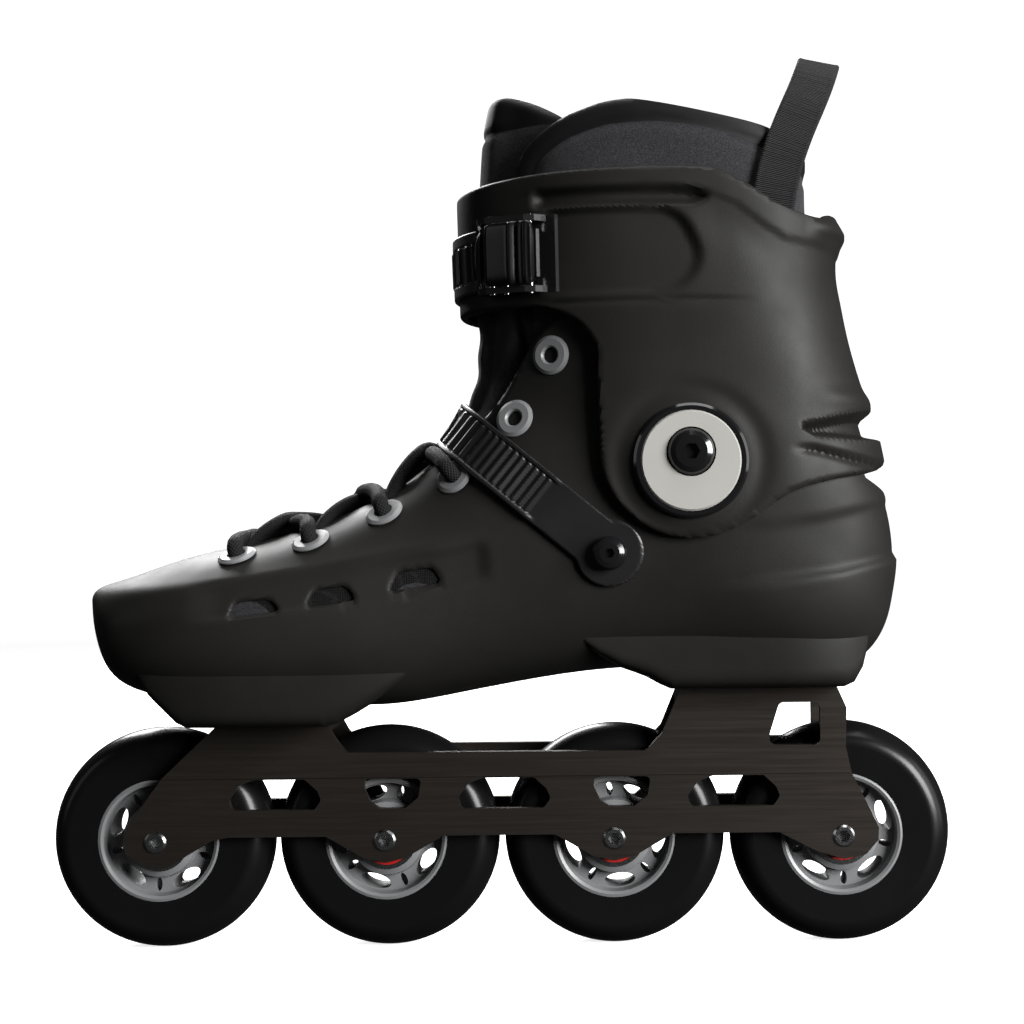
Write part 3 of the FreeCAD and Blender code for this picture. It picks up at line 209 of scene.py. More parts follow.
def grid_normals(points, wrap=False):
    """Unit normals of a grid of points, from the cross product of its two directions."""
    rows = np.gradient(points, axis=0)
    if wrap:
        columns = (np.roll(points, -1, 1) - np.roll(points, 1, 1)) / 2
    else:
        columns = np.gradient(points, axis=1)
    normal = np.cross(rows, columns)
    size = np.linalg.norm(normal, axis=-1, keepdims=True)
    return normal / np.maximum(size, 1e-12)


def on_boot(x, z, side, grow=0.0):
    """Point and outward normal of the boot where its side view is at (x, z): Newton steps in
    the surface's two parameters."""
    s, t = 10.0, 1.2 * side
    tries = [(a, b) for a in range(3, 23) for b in (0.4, 0.8, 1.2, 1.6, 2.0, 2.4)]
    start = min(tries, key=lambda q: float(np.hypot(*(boot(np.array(q[0] * 1.0), np.array(
        q[1] * side))[[0, 2]] - (x, z)))))
    s, t = float(start[0]), start[1] * side
    for _ in range(12):
        here = boot(np.array(s), np.array(t), grow, grow, grow)
        ds = (boot(np.array(s + 1e-3), np.array(t), grow, grow, grow) - here) / 1e-3
        dt = (boot(np.array(s), np.array(t + 1e-3), grow, grow, grow) - here) / 1e-3
        miss = np.array((x - here[0], z - here[2]))
        matrix = np.array(((ds[0], dt[0]), (ds[2], dt[2])))
        move = np.linalg.lstsq(matrix, miss, rcond=None)[0]
        s += float(np.clip(move[0], -1, 1))
        t += float(np.clip(move[1], -0.3, 0.3))
    normal = np.cross(ds, dt)
    normal /= np.linalg.norm(normal)
    if normal[1] * side < 0:
        normal = -normal
    return here, normal


# ---------------------------------------------------------------- mesh building

def settings():
    """The scene's own group of sizes and colours."""
    return bpy.context.scene.skate


def add_piece(name, points, faces, material, uv=None, smooth_angle=40.0, marks=None):
    """A mesh object from arrays of points in millimetres and of faces."""
    mesh = bpy.data.meshes.new(name)
    mesh.from_pydata((np.asarray(points) * MM).tolist(), [], [list(f) for f in faces])
    mesh.update()
    mesh.validate()
    if uv is not None:
        layer = mesh.uv_layers.new(name="UVMap")
        corner = np.zeros(len(mesh.loops), np.int32)
        mesh.loops.foreach_get("vertex_index", corner)
        layer.data.foreach_set("uv", np.asarray(uv, float)[corner].ravel())
    if marks is not None:
        for label, values in marks.items():
            layer = mesh.attributes.new(label, "FLOAT", "POINT")
            layer.data.foreach_set("value", np.asarray(values, np.float32))
    mesh.shade_smooth()
    mesh.set_sharp_from_angle(angle=math.radians(smooth_angle))
    if material is not None:
        mesh.materials.append(material)
    piece = bpy.data.objects.new(name, mesh)
    bpy.context.scene.collection.objects.link(piece)
    return piece


def join_meshes(parts):
    """Stacks (points, faces, uv) parts into one."""
    points, faces, uvs = [], [], []
    offset = 0
    for p, f, uv in parts:
        points.append(p)
        uvs.append(uv if uv is not None else np.zeros((len(p), 2)))
        faces += [[i + offset for i in face] for face in f]
        offset += len(p)
    return np.vstack(points), faces, np.vstack(uvs)


def tube_grid(points, wrap_rows=False, wrap_columns=True, caps=True):
    """Faces of a grid of rings, closed round each ring, with flat caps at its two ends."""
    rows, columns = points.shape[:2]
    index = np.arange(rows * columns).reshape(rows, columns)
    down = np.roll(index, -1, 0) if wrap_rows else index[1:]
    up = index if wrap_rows else index[:-1]
    if wrap_columns:
        a, b = up, np.roll(up, -1, 1)
        c, d = np.roll(down, -1, 1), down
    else:
        a, b, c, d = up[:, :-1], up[:, 1:], down[:, 1:], down[:, :-1]
    faces = np.stack((a, b, c, d), -1).reshape(-1, 4).tolist()
    if caps and wrap_columns and not wrap_rows:
        faces.append(index[0][::-1].tolist())
        faces.append(index[-1].tolist())
    return faces


def outward(points, faces):
    """Turns every face over if the closed mesh has a negative volume."""
    p = np.asarray(points) - np.mean(points, axis=0)
    volume = 0.0
    for size in {len(f) for f in faces}:
        some = np.array([f for f in faces if len(f) == size])
        for i in range(1, size - 1):
            a, b, c = p[some[:, 0]], p[some[:, i]], p[some[:, i + 1]]
            volume += np.einsum("ij,ij->i", a, np.cross(b, c)).sum()
    return faces if volume >= 0 else [f[::-1] for f in faces]


def cut_grid(surface, inside, s_values, t_values, grow=(0.0, 0.0, 0.0), rounds=4):
    """A grid of the surface kept where inside(point) is negative. Grid points close to the
    edge are moved onto it, and every face that the edge still crosses is cut along it.
    Returns flat points, distances, normals and the kept faces."""
    s, t = np.meshgrid(s_values, t_values, indexing="ij")
    wrap = abs((t_values[-1] - t_values[0]) - TAU) < 1e-6
    if wrap:
        s, t = s[:, :-1], t[:, :-1]
    ds = np.gradient(s, axis=0).ravel()
    dt = abs(t_values[1] - t_values[0])
    s_flat, t_flat = s.ravel().copy(), t.ravel().copy()

    def measure(sq, tq):
        return inside(surface(sq, tq, *grow))

    distance = measure(s_flat, t_flat)
    near = np.nonzero(np.abs(distance) < 3.0)[0]
    se, te, de = s_flat[near], t_flat[near], ds[near]
    moved_s, moved_t = np.zeros(len(near)), np.zeros(len(near))
    for _ in range(rounds):
        ps, pt = se + moved_s * de, te + moved_t * dt
        here = measure(ps, pt)
        gs = (measure(ps + 0.1 * de, pt) - here) / 0.1
        gt = (measure(ps, pt + 0.1 * dt) - here) / 0.1
        size = np.maximum(gs * gs + gt * gt, 1e-9)
        moved_s -= here * gs / size
        moved_t -= here * gt / size
    landed = ((np.abs(moved_s) < 0.32) & (np.abs(moved_t) < 0.32)
              & (np.abs(measure(se + moved_s * de, te + moved_t * dt)) < 0.02)
              & (se + moved_s * de >= s_values[0]) & (se + moved_s * de <= s_values[-1]))
    s_flat[near[landed]] = (se + moved_s * de)[landed]
    t_flat[near[landed]] = (te + moved_t * dt)[landed]
    distance = measure(s_flat, t_flat)
    distance[near[landed]] = 0.0
    points = surface(s_flat, t_flat, *grow)
    normals = grid_normals(points.reshape(s.shape + (3,)), wrap).reshape(-1, 3)
    index = np.arange(s.size).reshape(s.shape)
    right = np.roll(index, -1, 1) if wrap else index[:, 1:]
    left = index if wrap else index[:, :-1]
    quads = np.stack((left[:-1], right[:-1], right[1:], left[1:]), -1).reshape(-1, 4)
    signs = np.sign(distance)[quads]
    whole = (signs <= 0).all(axis=1) & (signs < 0).any(axis=1)
    mixed = (signs > 0).any(axis=1) & (signs < 0).any(axis=1)
    faces = quads[whole].tolist()
    ends, crossings = [], {}
    for face in quads[mixed].tolist():
        kept = []
        for a, b in zip(face, face[1:] + face[:1]):
            da, db = distance[a], distance[b]
            if da <= 0:
                kept.append(a)
            if da * db < 0:
                key = (a, b) if a < b else (b, a)
                if key not in crossings:
                    crossings[key] = s.size + len(ends)
                    ends.append(key)
                kept.append(crossings[key])
        if len(kept) > 2:
            faces.append(kept)
    if ends:
        a, b = np.array(ends).T
        ta, tb = t_flat[a], t_flat[b].copy()
        tb += TAU * np.round((ta - tb) / TAU)
        low, high = np.zeros(len(a)), np.ones(len(a))
        sign_a = np.sign(distance[a])
        for _ in range(14):
            mid = (low + high) / 2
            same = np.sign(measure(s_flat[a] + (s_flat[b] - s_flat[a]) * mid,
                                   ta + (tb - ta) * mid)) == sign_a
            low, high = np.where(same, mid, low), np.where(same, high, mid)
        mid = (low + high) / 2
        new = surface(s_flat[a] + (s_flat[b] - s_flat[a]) * mid, ta + (tb - ta) * mid, *grow)
        n = normals[a] * (1 - mid)[:, None] + normals[b] * mid[:, None]
        points = np.vstack((points, new))
        normals = np.vstack((normals, n / np.linalg.norm(n, axis=1, keepdims=True)))
        distance = np.concatenate((distance, np.zeros(len(a))))
    return points, np.minimum(distance, 0), normals, faces


def wall(points, distance, normals, faces, thickness, edge_radius=1.0, relief=None,
         inner_relief=0.0):
    """A wall of even thickness behind a cut grid. Near its edge, both faces fall towards the
    middle on a quarter circle of the edge radius. Relief moves the outer face along its
    normal."""
    depth = np.clip(1 + distance / edge_radius, 0, 1)
    fall = edge_radius * (1 - np.sqrt(1 - depth ** 2 * 0.98))
    lift = np.zeros(len(points)) if relief is None else relief
    outer = points + normals * (lift - fall)[:, None]
    inner = points - normals * (thickness - fall - inner_relief * lift)[:, None]
    used = np.unique(np.concatenate([np.asarray(f) for f in faces]))
    renumber = np.full(len(points), -1)
    renumber[used] = np.arange(len(used))
    front = [renumber[f].tolist() for f in faces]
    count = len(used)
    seen = {}
    for face in front:
        for a, b in zip(face, face[1:] + face[:1]):
            key = (a, b) if a < b else (b, a)
            if key in seen:
                seen[key] = None
            else:
                seen[key] = (a, b)
    rims = [[b, a, a + count, b + count] for a, b in filter(None, seen.values())]
    back = [[i + count for i in reversed(face)] for face in front]
    all_points = np.vstack((outer[used], inner[used]))
    return all_points, outward(all_points, front + back + rims), used


def check_side(normals, points):
    """Makes the grid's normals point away from the boot's middle plane."""
    middle = np.array((points[..., 0].mean(), 0, points[..., 2].mean()))
    away = ((points - middle) * normals).sum()
    return normals if away > 0 else -normals


def sweep(path, profile, across):
    """Carries a closed profile (across, out) along a path: across is each place's side
    direction and out is perpendicular to it and to the path."""
    ahead = np.gradient(path, axis=0)
    ahead /= np.linalg.norm(ahead, axis=1, keepdims=True)
    side = across - ahead * (across * ahead).sum(axis=1, keepdims=True)
    side /= np.linalg.norm(side, axis=1, keepdims=True)
    out = np.cross(ahead, side)
    profile = np.asarray(profile, float)
    if profile.ndim == 2:
        profile = np.broadcast_to(profile, (len(path), *profile.shape))
    return (path[:, None, :] + side[:, None, :] * profile[..., 0:1]
            + out[:, None, :] * profile[..., 1:2])


def smooth_path(points, count):
    """Even points along a natural cubic through given ones."""
    p = np.asarray(points, float)
    length = np.concatenate(([0], np.cumsum(np.linalg.norm(np.diff(p, axis=0), axis=1))))
    at = spline(length, p)
    fine = at(np.linspace(0, length[-1], 1200))
    run = np.concatenate(([0], np.cumsum(np.linalg.norm(np.diff(fine, axis=0), axis=1))))
    where = np.interp(np.linspace(0, run[-1], count), run, np.linspace(0, length[-1], 1200))
    return at(where), run[-1]


class Nodes:
    """Short names for building one material's node tree."""

    def __init__(self, name):
        self.material = bpy.data.materials.new(name)
        self.material.use_nodes = True
        self.tree = self.material.node_tree
        self.tree.nodes.clear()
        self.output = self.add("ShaderNodeOutputMaterial")
        self.shader = self.add("ShaderNodeBsdfPrincipled")
        self.link(self.shader.outputs[0], self.output.inputs[0])
        self.place = self.add("ShaderNodeTexCoord").outputs["Object"]

    def add(self, kind, **values):
        node = self.tree.nodes.new(kind)
        for key, value in values.items():
            setattr(node, key, value)
        return node

    def link(self, source, target):
        self.tree.links.new(source, target)

    def noise(self, scale, detail=2.0, roughness=0.5, place=None, stretch=None):
        """Noise on the object's own coordinates, in cells per metre."""
        node = self.add("ShaderNodeTexNoise")
        node.inputs["Scale"].default_value = scale
        node.inputs["Detail"].default_value = detail
        node.inputs["Roughness"].default_value = roughness
        source = place or self.place
        if stretch:
            mapping = self.add("ShaderNodeMapping")
            mapping.inputs["Scale"].default_value = stretch
            self.link(source, mapping.inputs[0])
            source = mapping.outputs[0]
        self.link(source, node.inputs["Vector"])
        return node.outputs["Fac"]

    def math(self, operation, a, b=None, clamp=False):
        node = self.add("ShaderNodeMath", operation=operation, use_clamp=clamp)
        for slot, value in zip(node.inputs, (a, b)):
            if value is None:
                continue
            if isinstance(value, (int, float)):
                slot.default_value = value
            else:
                self.link(value, slot)
        return node.outputs[0]

    def ramp(self, source, stops):
        """Colour ramp from (position, colour) stops."""
        node = self.add("ShaderNodeValToRGB")
        ramp = node.color_ramp
        while len(ramp.elements) < len(stops):
            ramp.elements.new(0.5)
        for element, (position, colour) in zip(ramp.elements, stops):
            element.position = position
            element.color = (*colour, 1.0) if len(colour) == 3 else colour
        self.link(source, node.inputs[0])
        return node.outputs[0]

    def mix(self, share, first, second):
        """Colour that goes from the first to the second with the share."""
        node = self.add("ShaderNodeMix", data_type="RGBA")
        for slot, source in zip((node.inputs[0], node.inputs[6], node.inputs[7]),
                                (share, first, second)):
            self.link(source, slot)
        return node.outputs[2]

    def bump(self, height, distance, strength=1.0, after=None):
        node = self.add("ShaderNodeBump")
        node.inputs["Distance"].default_value = distance
        node.inputs["Strength"].default_value = strength
        self.link(height, node.inputs["Height"])
        if after is not None:
            self.link(after, node.inputs["Normal"])
        return node.outputs[0]

    def set(self, **values):
        for key, value in values.items():
            socket = self.shader.inputs[key.replace("_", " ")]
            if hasattr(value, "links") or hasattr(value, "is_linked"):
                self.link(value, socket)
            else:
                socket.default_value = value
        return self


def spread(colour, amount):
    """A darker and a lighter shade of a colour."""
    dark = tuple(c * (1 - amount) for c in colour)
    light = tuple(c * (1 + amount) for c in colour)
    return dark, light


def moulded_plastic(name, colour, roughness, grain=2600.0, grain_depth=0.00004, patch=0.12,
                    shine=0.5):
    """Moulded plastic: fine spark-eroded grain, and soft differences in colour and gloss."""
    n = Nodes(name)
    dark, light = spread(colour, patch)
    tone = n.ramp(n.noise(22.0, 3.0), ((0.3, dark), (0.7, light)))
    gloss = n.ramp(n.noise(60.0, 4.0), ((0.3, (roughness * 0.9,) * 3),
                                        (0.75, (min(1.0, roughness * 1.12),) * 3)))
    bump = n.bump(n.noise(grain, 2.0, 0.6), grain_depth)
    bump = n.bump(n.noise(90.0, 2.0), 0.00003, after=bump)
    n.set(Base_Color=tone, Roughness=gloss, Normal=bump, Specular_IOR_Level=shine)
    return n


def shell_plastic():
    n = moulded_plastic("boot_plastic", tuple(settings().shell_colour), 0.48, shine=0.12)
    return n.material


def strap_plastic():
    n = moulded_plastic("strap_plastic", tuple(settings().strap_colour), 0.38, 3200.0, 0.00002,
                        shine=0.4)
    return n.material


def gloss_plastic():
    n = moulded_plastic("gloss_black", (0.006, 0.006, 0.0065), 0.13, 900.0, 0.000004, 0.05)
    return n.material


def lever_plastic():
    n = moulded_plastic("lever_plastic", (0.003, 0.003, 0.0035), 0.24, 1800.0, 0.00001, 0.08,
                        0.3)
    return n.material


def grey_plastic():
    n = moulded_plastic("grey_plastic", tuple(settings().grey_colour), 0.42, 2200.0, 0.00002,
                        0.04)
    return n.material


def eyelet_plastic():
    n = moulded_plastic("satin_grey", tuple(settings().satin_colour), 0.38, 2200.0, 0.00002,
                        0.05)
    return n.material


def tyre_rubber():
    n = moulded_plastic("tyre_urethane", (0.004, 0.004, 0.0042), 0.27, 700.0, 0.000012, 0.1,
                        0.2)
    return n.material


def anodised():
    """Satin anodised aluminium: a dark warm metal with a faint drawn grain along it."""
    n = Nodes("anodised_aluminium")
    grain = n.noise(900.0, 3.0, 0.6, stretch=(0.03, 1.0, 1.0))
    colour = tuple(settings().frame_colour)
    dark, light = spread(colour, 0.16)
    tone = n.ramp(n.noise(14.0, 3.0), ((0.25, dark), (0.75, light)))
    gloss = n.ramp(grain, ((0.3, (0.34,) * 3), (0.75, (0.44,) * 3)))
    n.set(Base_Color=tone, Roughness=gloss, Metallic=0.85, Normal=n.bump(grain, 0.00001))
    return n.material


def steel(name="bright_steel", colour=(0.62, 0.63, 0.64), roughness=0.24):
    n = Nodes(name)
    dark, light = spread(colour, 0.08)
    grain = n.noise(1500.0, 3.0)
    tone = n.ramp(n.noise(200.0, 2.0), ((0.3, dark), (0.7, light)))
    gloss = n.ramp(grain, ((0.3, (roughness * 0.8,) * 3), (0.8, (roughness * 1.3,) * 3)))
    n.set(Base_Color=tone, Roughness=gloss, Metallic=1.0, Normal=n.bump(grain, 0.000006))
    return n.material


def red_shield():
    n = moulded_plastic("red_shield", (0.42, 0.014, 0.01), 0.38, 1500.0, 0.00001, 0.08)
    return n.material


def padded_cloth():
    """Cloth of the liner and the tongue. The mesh's own "knit" attribute says where it is
    knitted, with crossed fine waves, flecks of lighter yarn and sheen: below one half, it is
    the plain coated lining of the rims."""
    n = Nodes("padded_cloth")
    knitted = n.add("ShaderNodeAttribute", attribute_name="knit").outputs["Fac"]
    edge = n.ramp(knitted, ((0.48, (0, 0, 0)), (0.52, (1, 1, 1))))
    waves = []
    for direction, size in (("DIAGONAL", 1500.0), ("Z", 1200.0)):
        wave = n.add("ShaderNodeTexWave", wave_type="BANDS", bands_direction=direction)
        wave.inputs["Scale"].default_value = size
        wave.inputs["Distortion"].default_value = 2.0
        wave.inputs["Detail"].default_value = 1.0
        n.link(n.place, wave.inputs["Vector"])
        waves.append(wave.outputs["Fac"])
    height = n.math("MULTIPLY", n.math("MULTIPLY", *waves), edge)
    knit = n.ramp(n.noise(2400.0, 3.0, 0.7), ((0.42, (0.008, 0.008, 0.0095)),
                                              (0.62, (0.03, 0.03, 0.033))))
    lining = n.ramp(n.noise(30.0, 2.0), ((0.3, (0.003, 0.003, 0.0033)),
                                         (0.7, (0.006, 0.006, 0.0065))))
    gloss = n.ramp(knitted, ((0.48, (0.62,) * 3), (0.52, (0.92,) * 3)))
    bump = n.bump(height, 0.00012, 0.7)
    bump = n.bump(n.noise(55.0, 3.0), 0.0007, 0.5, after=bump)
    n.set(Base_Color=n.mix(edge, lining, knit), Roughness=gloss, Normal=bump,
          Specular_IOR_Level=0.15)
    n.link(n.math("MULTIPLY", edge, 0.12), n.shader.inputs["Sheen Weight"])
    n.shader.inputs["Sheen Roughness"].default_value = 0.5
    return n.material


def webbing():
    """Ribbed webbing: ribs across its length, from the piece's own UV map, and a fine yarn."""
    n = Nodes("ribbed_webbing")
    uv = n.add("ShaderNodeUVMap")
    uv.uv_map = "UVMap"
    ribs = n.add("ShaderNodeTexWave", wave_type="BANDS", bands_direction="X")
    ribs.inputs["Scale"].default_value = 0.5
    ribs.inputs["Distortion"].default_value = 0.4
    ribs.inputs["Detail Scale"].default_value = 3.0
    n.link(uv.outputs[0], ribs.inputs["Vector"])
    # Colour follows the rib height: the troughs between the ribs are darker, which is painted shade.
    tone = n.ramp(ribs.outputs["Fac"], ((0.15, (0.003, 0.003, 0.003)), (0.8, (0.018, 0.018, 0.019))))
    bump = n.bump(ribs.outputs["Fac"], 0.0004)
    bump = n.bump(n.noise(3000.0, 2.0), 0.00005, after=bump)
    n.set(Base_Color=tone, Roughness=0.72, Normal=bump, Specular_IOR_Level=0.25)
    return n.material


def braid():
    """Round braided lace: two crossed sets of slanting strands on the piece's UV map."""
    n = Nodes("braided_lace")
    uv = n.add("ShaderNodeUVMap")
    uv.uv_map = "UVMap"
    heights = []
    for slant in (1.0, -1.0):
        mapping = n.add("ShaderNodeMapping")
        mapping.inputs["Rotation"].default_value = (0, 0, slant * 0.62)
        n.link(uv.outputs[0], mapping.inputs[0])
        strand = n.add("ShaderNodeTexWave", wave_type="BANDS", bands_direction="X")
        strand.inputs["Scale"].default_value = 0.42
        n.link(mapping.outputs[0], strand.inputs["Vector"])
        heights.append(strand.outputs["Fac"])
    height = n.math("MAXIMUM", *heights)
    # Colour follows the strand height: the grooves between the strands are darker, which is painted
    # shade.
    tone = n.ramp(height, ((0.3, (0.003, 0.003, 0.003)), (0.95, (0.013, 0.013, 0.013))))
    n.set(Base_Color=tone, Roughness=0.7, Normal=n.bump(height, 0.0004),
          Specular_IOR_Level=0.12)
    return n.material


def vent_mesh_cloth():
    """Open mesh behind the vents: round holes in rows on a black net; the holes are painted near
    black, as painted shade seen through them.
    """
    n = Nodes("vent_net")
    cells = n.add("ShaderNodeTexVoronoi", feature="DISTANCE_TO_EDGE")
    cells.inputs["Scale"].default_value = 1300.0
    cells.inputs["Randomness"].default_value = 0.35
    n.link(n.place, cells.inputs["Vector"])
    # The cell middles, which are the holes, are painted near black as painted shade seen through the
    # net; the strands keep the net's own dark colour.
    tone = n.ramp(cells.outputs["Distance"], ((0.05, (0.008, 0.008, 0.008)), (0.16, (0.001,) * 3)))
    n.set(Base_Color=tone, Roughness=0.8, Normal=n.bump(cells.outputs["Distance"], -0.0003),
          Specular_IOR_Level=0.1)
    return n.material


# ---------------------------------------------------------------- shell

FLAP_EDGE = rounded(((-41.8, 164.6), (-19.1, 175.5), (2.2, 195.4), (13.5, 215.0), (22.0, 223.0),
                     (36.0, 222.0), (60.0, 206.0), (92.0, 194.0), (150.0, 189.0),
                     (150.0, 330.0), (-60.0, 330.0), (-60.0, 172.0)), 7.0)
RIDGE = line_through(((-146, 129.6), (-133.8, 129.9), (-115.8, 129.9), (-97.8, 131.3),
                      (-80.7, 133.4), (-60.9, 136.2), (-29.6, 141.6), (-4.6, 144.9)))
BAND_FOOT = line_through(((-100, 120.4), (-88.2, 121.5), (-61.9, 124.5), (-29.7, 129.6),
                          (-2.4, 134.4)))
HEEL_CREASE = line_through(((70, 129.2), (89.3, 131.0), (119.7, 134.9), (139.2, 139.0),
                            (150, 141.5)))
HEEL_LINE = line_through(((96, 151.0), (113.8, 153.5), (136.4, 158.5), (150, 161.5)))
VENTS = tuple(rounded(corners, 1.6) for corners in (
    ((-89.0, 121.6), (-87.0, 127.6), (-75.2, 128.4), (-71.6, 123.6)),
    ((-62.6, 124.9), (-60.0, 131.2), (-49.4, 132.4), (-45.6, 126.9)),
    ((-34.4, 129.6), (-31.9, 136.6), (-20.2, 138.0), (-16.6, 132.6)),
))
EYELETS = ((-89.4, 141.9), (-63.3, 146.9), (-37.8, 156.5), (-13.0, 168.9), (8.3, 188.8),
           (21.2, 210.5))
DISC = (68.6, 173.0)
STRAP_PIVOT = (40.7, 142.0)


def shell_relief(p):
    """Raised and sunk areas of the shell in its side view: a ridge along the toe, a sunk band
    with the vents, a wedge on the heel and a soft hollow under the strap's screw."""
    x, z = p[..., 0], p[..., 2]
    band = (step(z - BAND_FOOT(x), 3.2) * step(RIDGE(x) - z, 5.0) * step(-2.4 - x, 6.0)
            * step(x + 98.0, 14.0))
    ridge = np.exp(-((z - RIDGE(x)) / 3.6) ** 2) * step(-12 - x, 20.0) * step(x + 146, 6.0)
    wedge = (step(z - HEEL_CREASE(x), 3.0) * step(HEEL_LINE(x) - z, 4.0) * step(x - 92.0, 40.0))
    crease = step(HEEL_CREASE(x) - z, 2.4) * step(x - 80.0, 30.0)
    return 0.9 * ridge - 1.5 * band - 1.1 * wedge + 0.5 * crease


def shell_inside(p):
    """Distance outside the kept shell: flap edges, throat, vents and the cut under the cuff."""
    x, y, z = p[..., 0], np.abs(p[..., 1]), p[..., 2]
    cut = -outline_distance(x, z, FLAP_EDGE)
    corner = np.hypot(np.maximum(-86.0 - x, 0), y)
    throat = np.where(x < -86.0, 15.5 - corner, 15.5 - y)
    throat = np.minimum(throat, np.minimum(z - 132.0, 12.0 - x))
    away = np.maximum(cut, throat)
    for vent in VENTS:
        away = np.maximum(away, -outline_distance(x, z, vent))
    return away


def make_boot_shell(material):
    rows = even_rows(285, 0.0, 16.3)
    turns = np.linspace(0, TAU, 222)
    points, distance, normals, faces = cut_grid(boot, shell_inside, rows, turns)
    normals = check_side(normals, points)
    p, faces, _ = wall(points, distance, normals, faces, 3.0, 1.0, shell_relief(points), 0.8)
    tip = points[:len(turns) - 1]
    p, faces, _ = join_meshes(((p, faces, None), end_cap(tip)))
    return add_piece("boot_shell_body", p, faces, material, smooth_angle=38)


def end_cap(first_row):
    """A fan of triangles that closes the toe's first row."""
    middle = first_row.mean(axis=0) + np.array((-0.5, 0, 0))
    p = np.vstack((first_row, middle[None]))
    n = len(first_row)
    faces = [[i, n, (i + 1) % n] for i in range(n)]
    a, b, c = p[faces[0]]
    if np.cross(b - a, c - a)[0] > 0:
        faces = [f[::-1] for f in faces]
    return p, faces, None


def make_pads(material):
    """Two mounting pads that carry the shell's sides down to the frame: superellipse sections
    in the crosswise plane, as wide as the shell is at a higher level."""
    pieces = []
    for name, low, high, level in (
            ("front_mount_pad", ((-124.0, 103.0), (-119.0, 93.0), (-110.0, 83.6),
                                 (-107.0, 82.1), (-59.0, 82.1), (-55.0, 83.4), (-50.0, 86.0),
                                 (-42.0, 91.0), (-24.0, 103.0)), 112.0, 104.0),
            ("rear_mount_pad", ((26.0, 114.0), (36.0, 106.0), (44.0, 101.4), (49.0, 99.6),
                                (53.0, 98.0), (57.5, 95.4), (61.5, 93.6), (123.0, 93.6),
                                (126.5, 95.0), (129.5, 100.0), (131.0, 106.0)),
             124.0, 115.0)):
        foot = line_through(low)
        x = np.unique(np.concatenate((np.linspace(low[0][0], low[-1][0], 70),
                                      [q[0] for q in low])))
        side = np.array([-on_boot(along, level, -1)[0][1] for along in x]) - 1.3
        t = np.linspace(0, TAU, 73)[:-1]
        c, w = np.cos(t), np.sin(t)
        shape_y = np.sign(c) * np.abs(c) ** (2 / 7.0)
        shape_z = np.sign(w) * np.abs(w) ** (2 / 7.0)
        zl = foot(x)[:, None]
        z = (zl + high) / 2 + (high - zl) / 2 * shape_z
        drop = np.clip((level - z) / (level - 82.0), 0, 1)
        y = side[:, None] * shape_y * (1 - 0.08 * drop ** 1.5)
        p = np.stack((np.broadcast_to(x[:, None], z.shape), y, z), -1)
        faces = tube_grid(p)
        flat = p.reshape(-1, 3)
        pieces.append(add_piece(name, flat, outward(flat, faces), material, smooth_angle=35))
    return pieces


def make_vent_net(material):
    """Net panels that follow the inside of the shell behind each vent."""
    def near_vents(p):
        x, z = p[..., 0], p[..., 2]
        best = np.full(x.shape, 1e3)
        for vent in VENTS:
            best = np.minimum(best, outline_distance(x, z, vent) - 3.0)
        return best

    rows = even_rows(200, 3.0, 9.5)
    turns = np.linspace(0, TAU, 200)
    points, distance, normals, faces = cut_grid(boot, near_vents, rows, turns,
                                                   (-3.3, -7.2, -3.3))
    normals = check_side(normals, points)
    p, faces, _ = wall(points, distance, normals, faces, 0.5, 0.2)
    return add_piece("vent_net_panels", p, faces, material)


# ---------------------------------------------------------------- cuff

CUFF_OUTLINE = rounded(((-40.0, 227.0), (18.0, 227.0), (31.0, 221.5), (37.4, 211.9),
                        (36.8, 204.8), (37.6, 171.6), (41.1, 162.1), (46.5, 155.6),
                        (52.8, 150.7), (60.0, 147.6), (68.2, 146.4), (78.9, 148.0),
                        (90.8, 153.8), (98.0, 159.2), (105.2, 163.4), (118.2, 166.6),
                        (136.0, 170.4), (150.0, 174.0), (150.0, 251.0), (124.7, 254.6),
                        (121.0, 260.0), (117.0, 259.0), (113.8, 256.6), (100.7, 259.7),
                        (90.0, 266.4), (80.5, 271.5), (68.0, 272.8), (54.0, 272.6),
                        (10.0, 271.6), (-12.0, 270.6), (-40.0, 270.6)), 6.0)
LIP = line_through(((0, 265.0), (25.3, 265.2), (64, 265.4), (75.6, 263.8), (85.1, 259.9),
                    (94.6, 252.9), (101.7, 248.6), (120.3, 246.2), (135, 246.0)))
PAD = rounded(((18.0, 258.4), (61.0, 258.2), (67.0, 254.8), (70.6, 247.5), (72.2, 242.6),
               (70.3, 236.5), (65.5, 231.9), (58.4, 230.6), (18.0, 230.5)), 4.0)
RECESS = rounded(((16.0, 265.2), (62.0, 265.2), (70.0, 264.6), (75.0, 262.6), (70.0, 260.4),
                  (60.0, 260.6), (16.0, 260.6)), 1.6)
REAR_SLOT = rounded(((107.0, 184.6), (111.0, 182.4), (126.0, 181.2), (150.0, 182.6),
                     (150.0, 191.5), (134.0, 190.0), (116.0, 186.2)), 1.4)
REAR_LINE = line_through(((104, 177.0), (111, 176.7), (137.3, 171.6), (150, 170.0)))


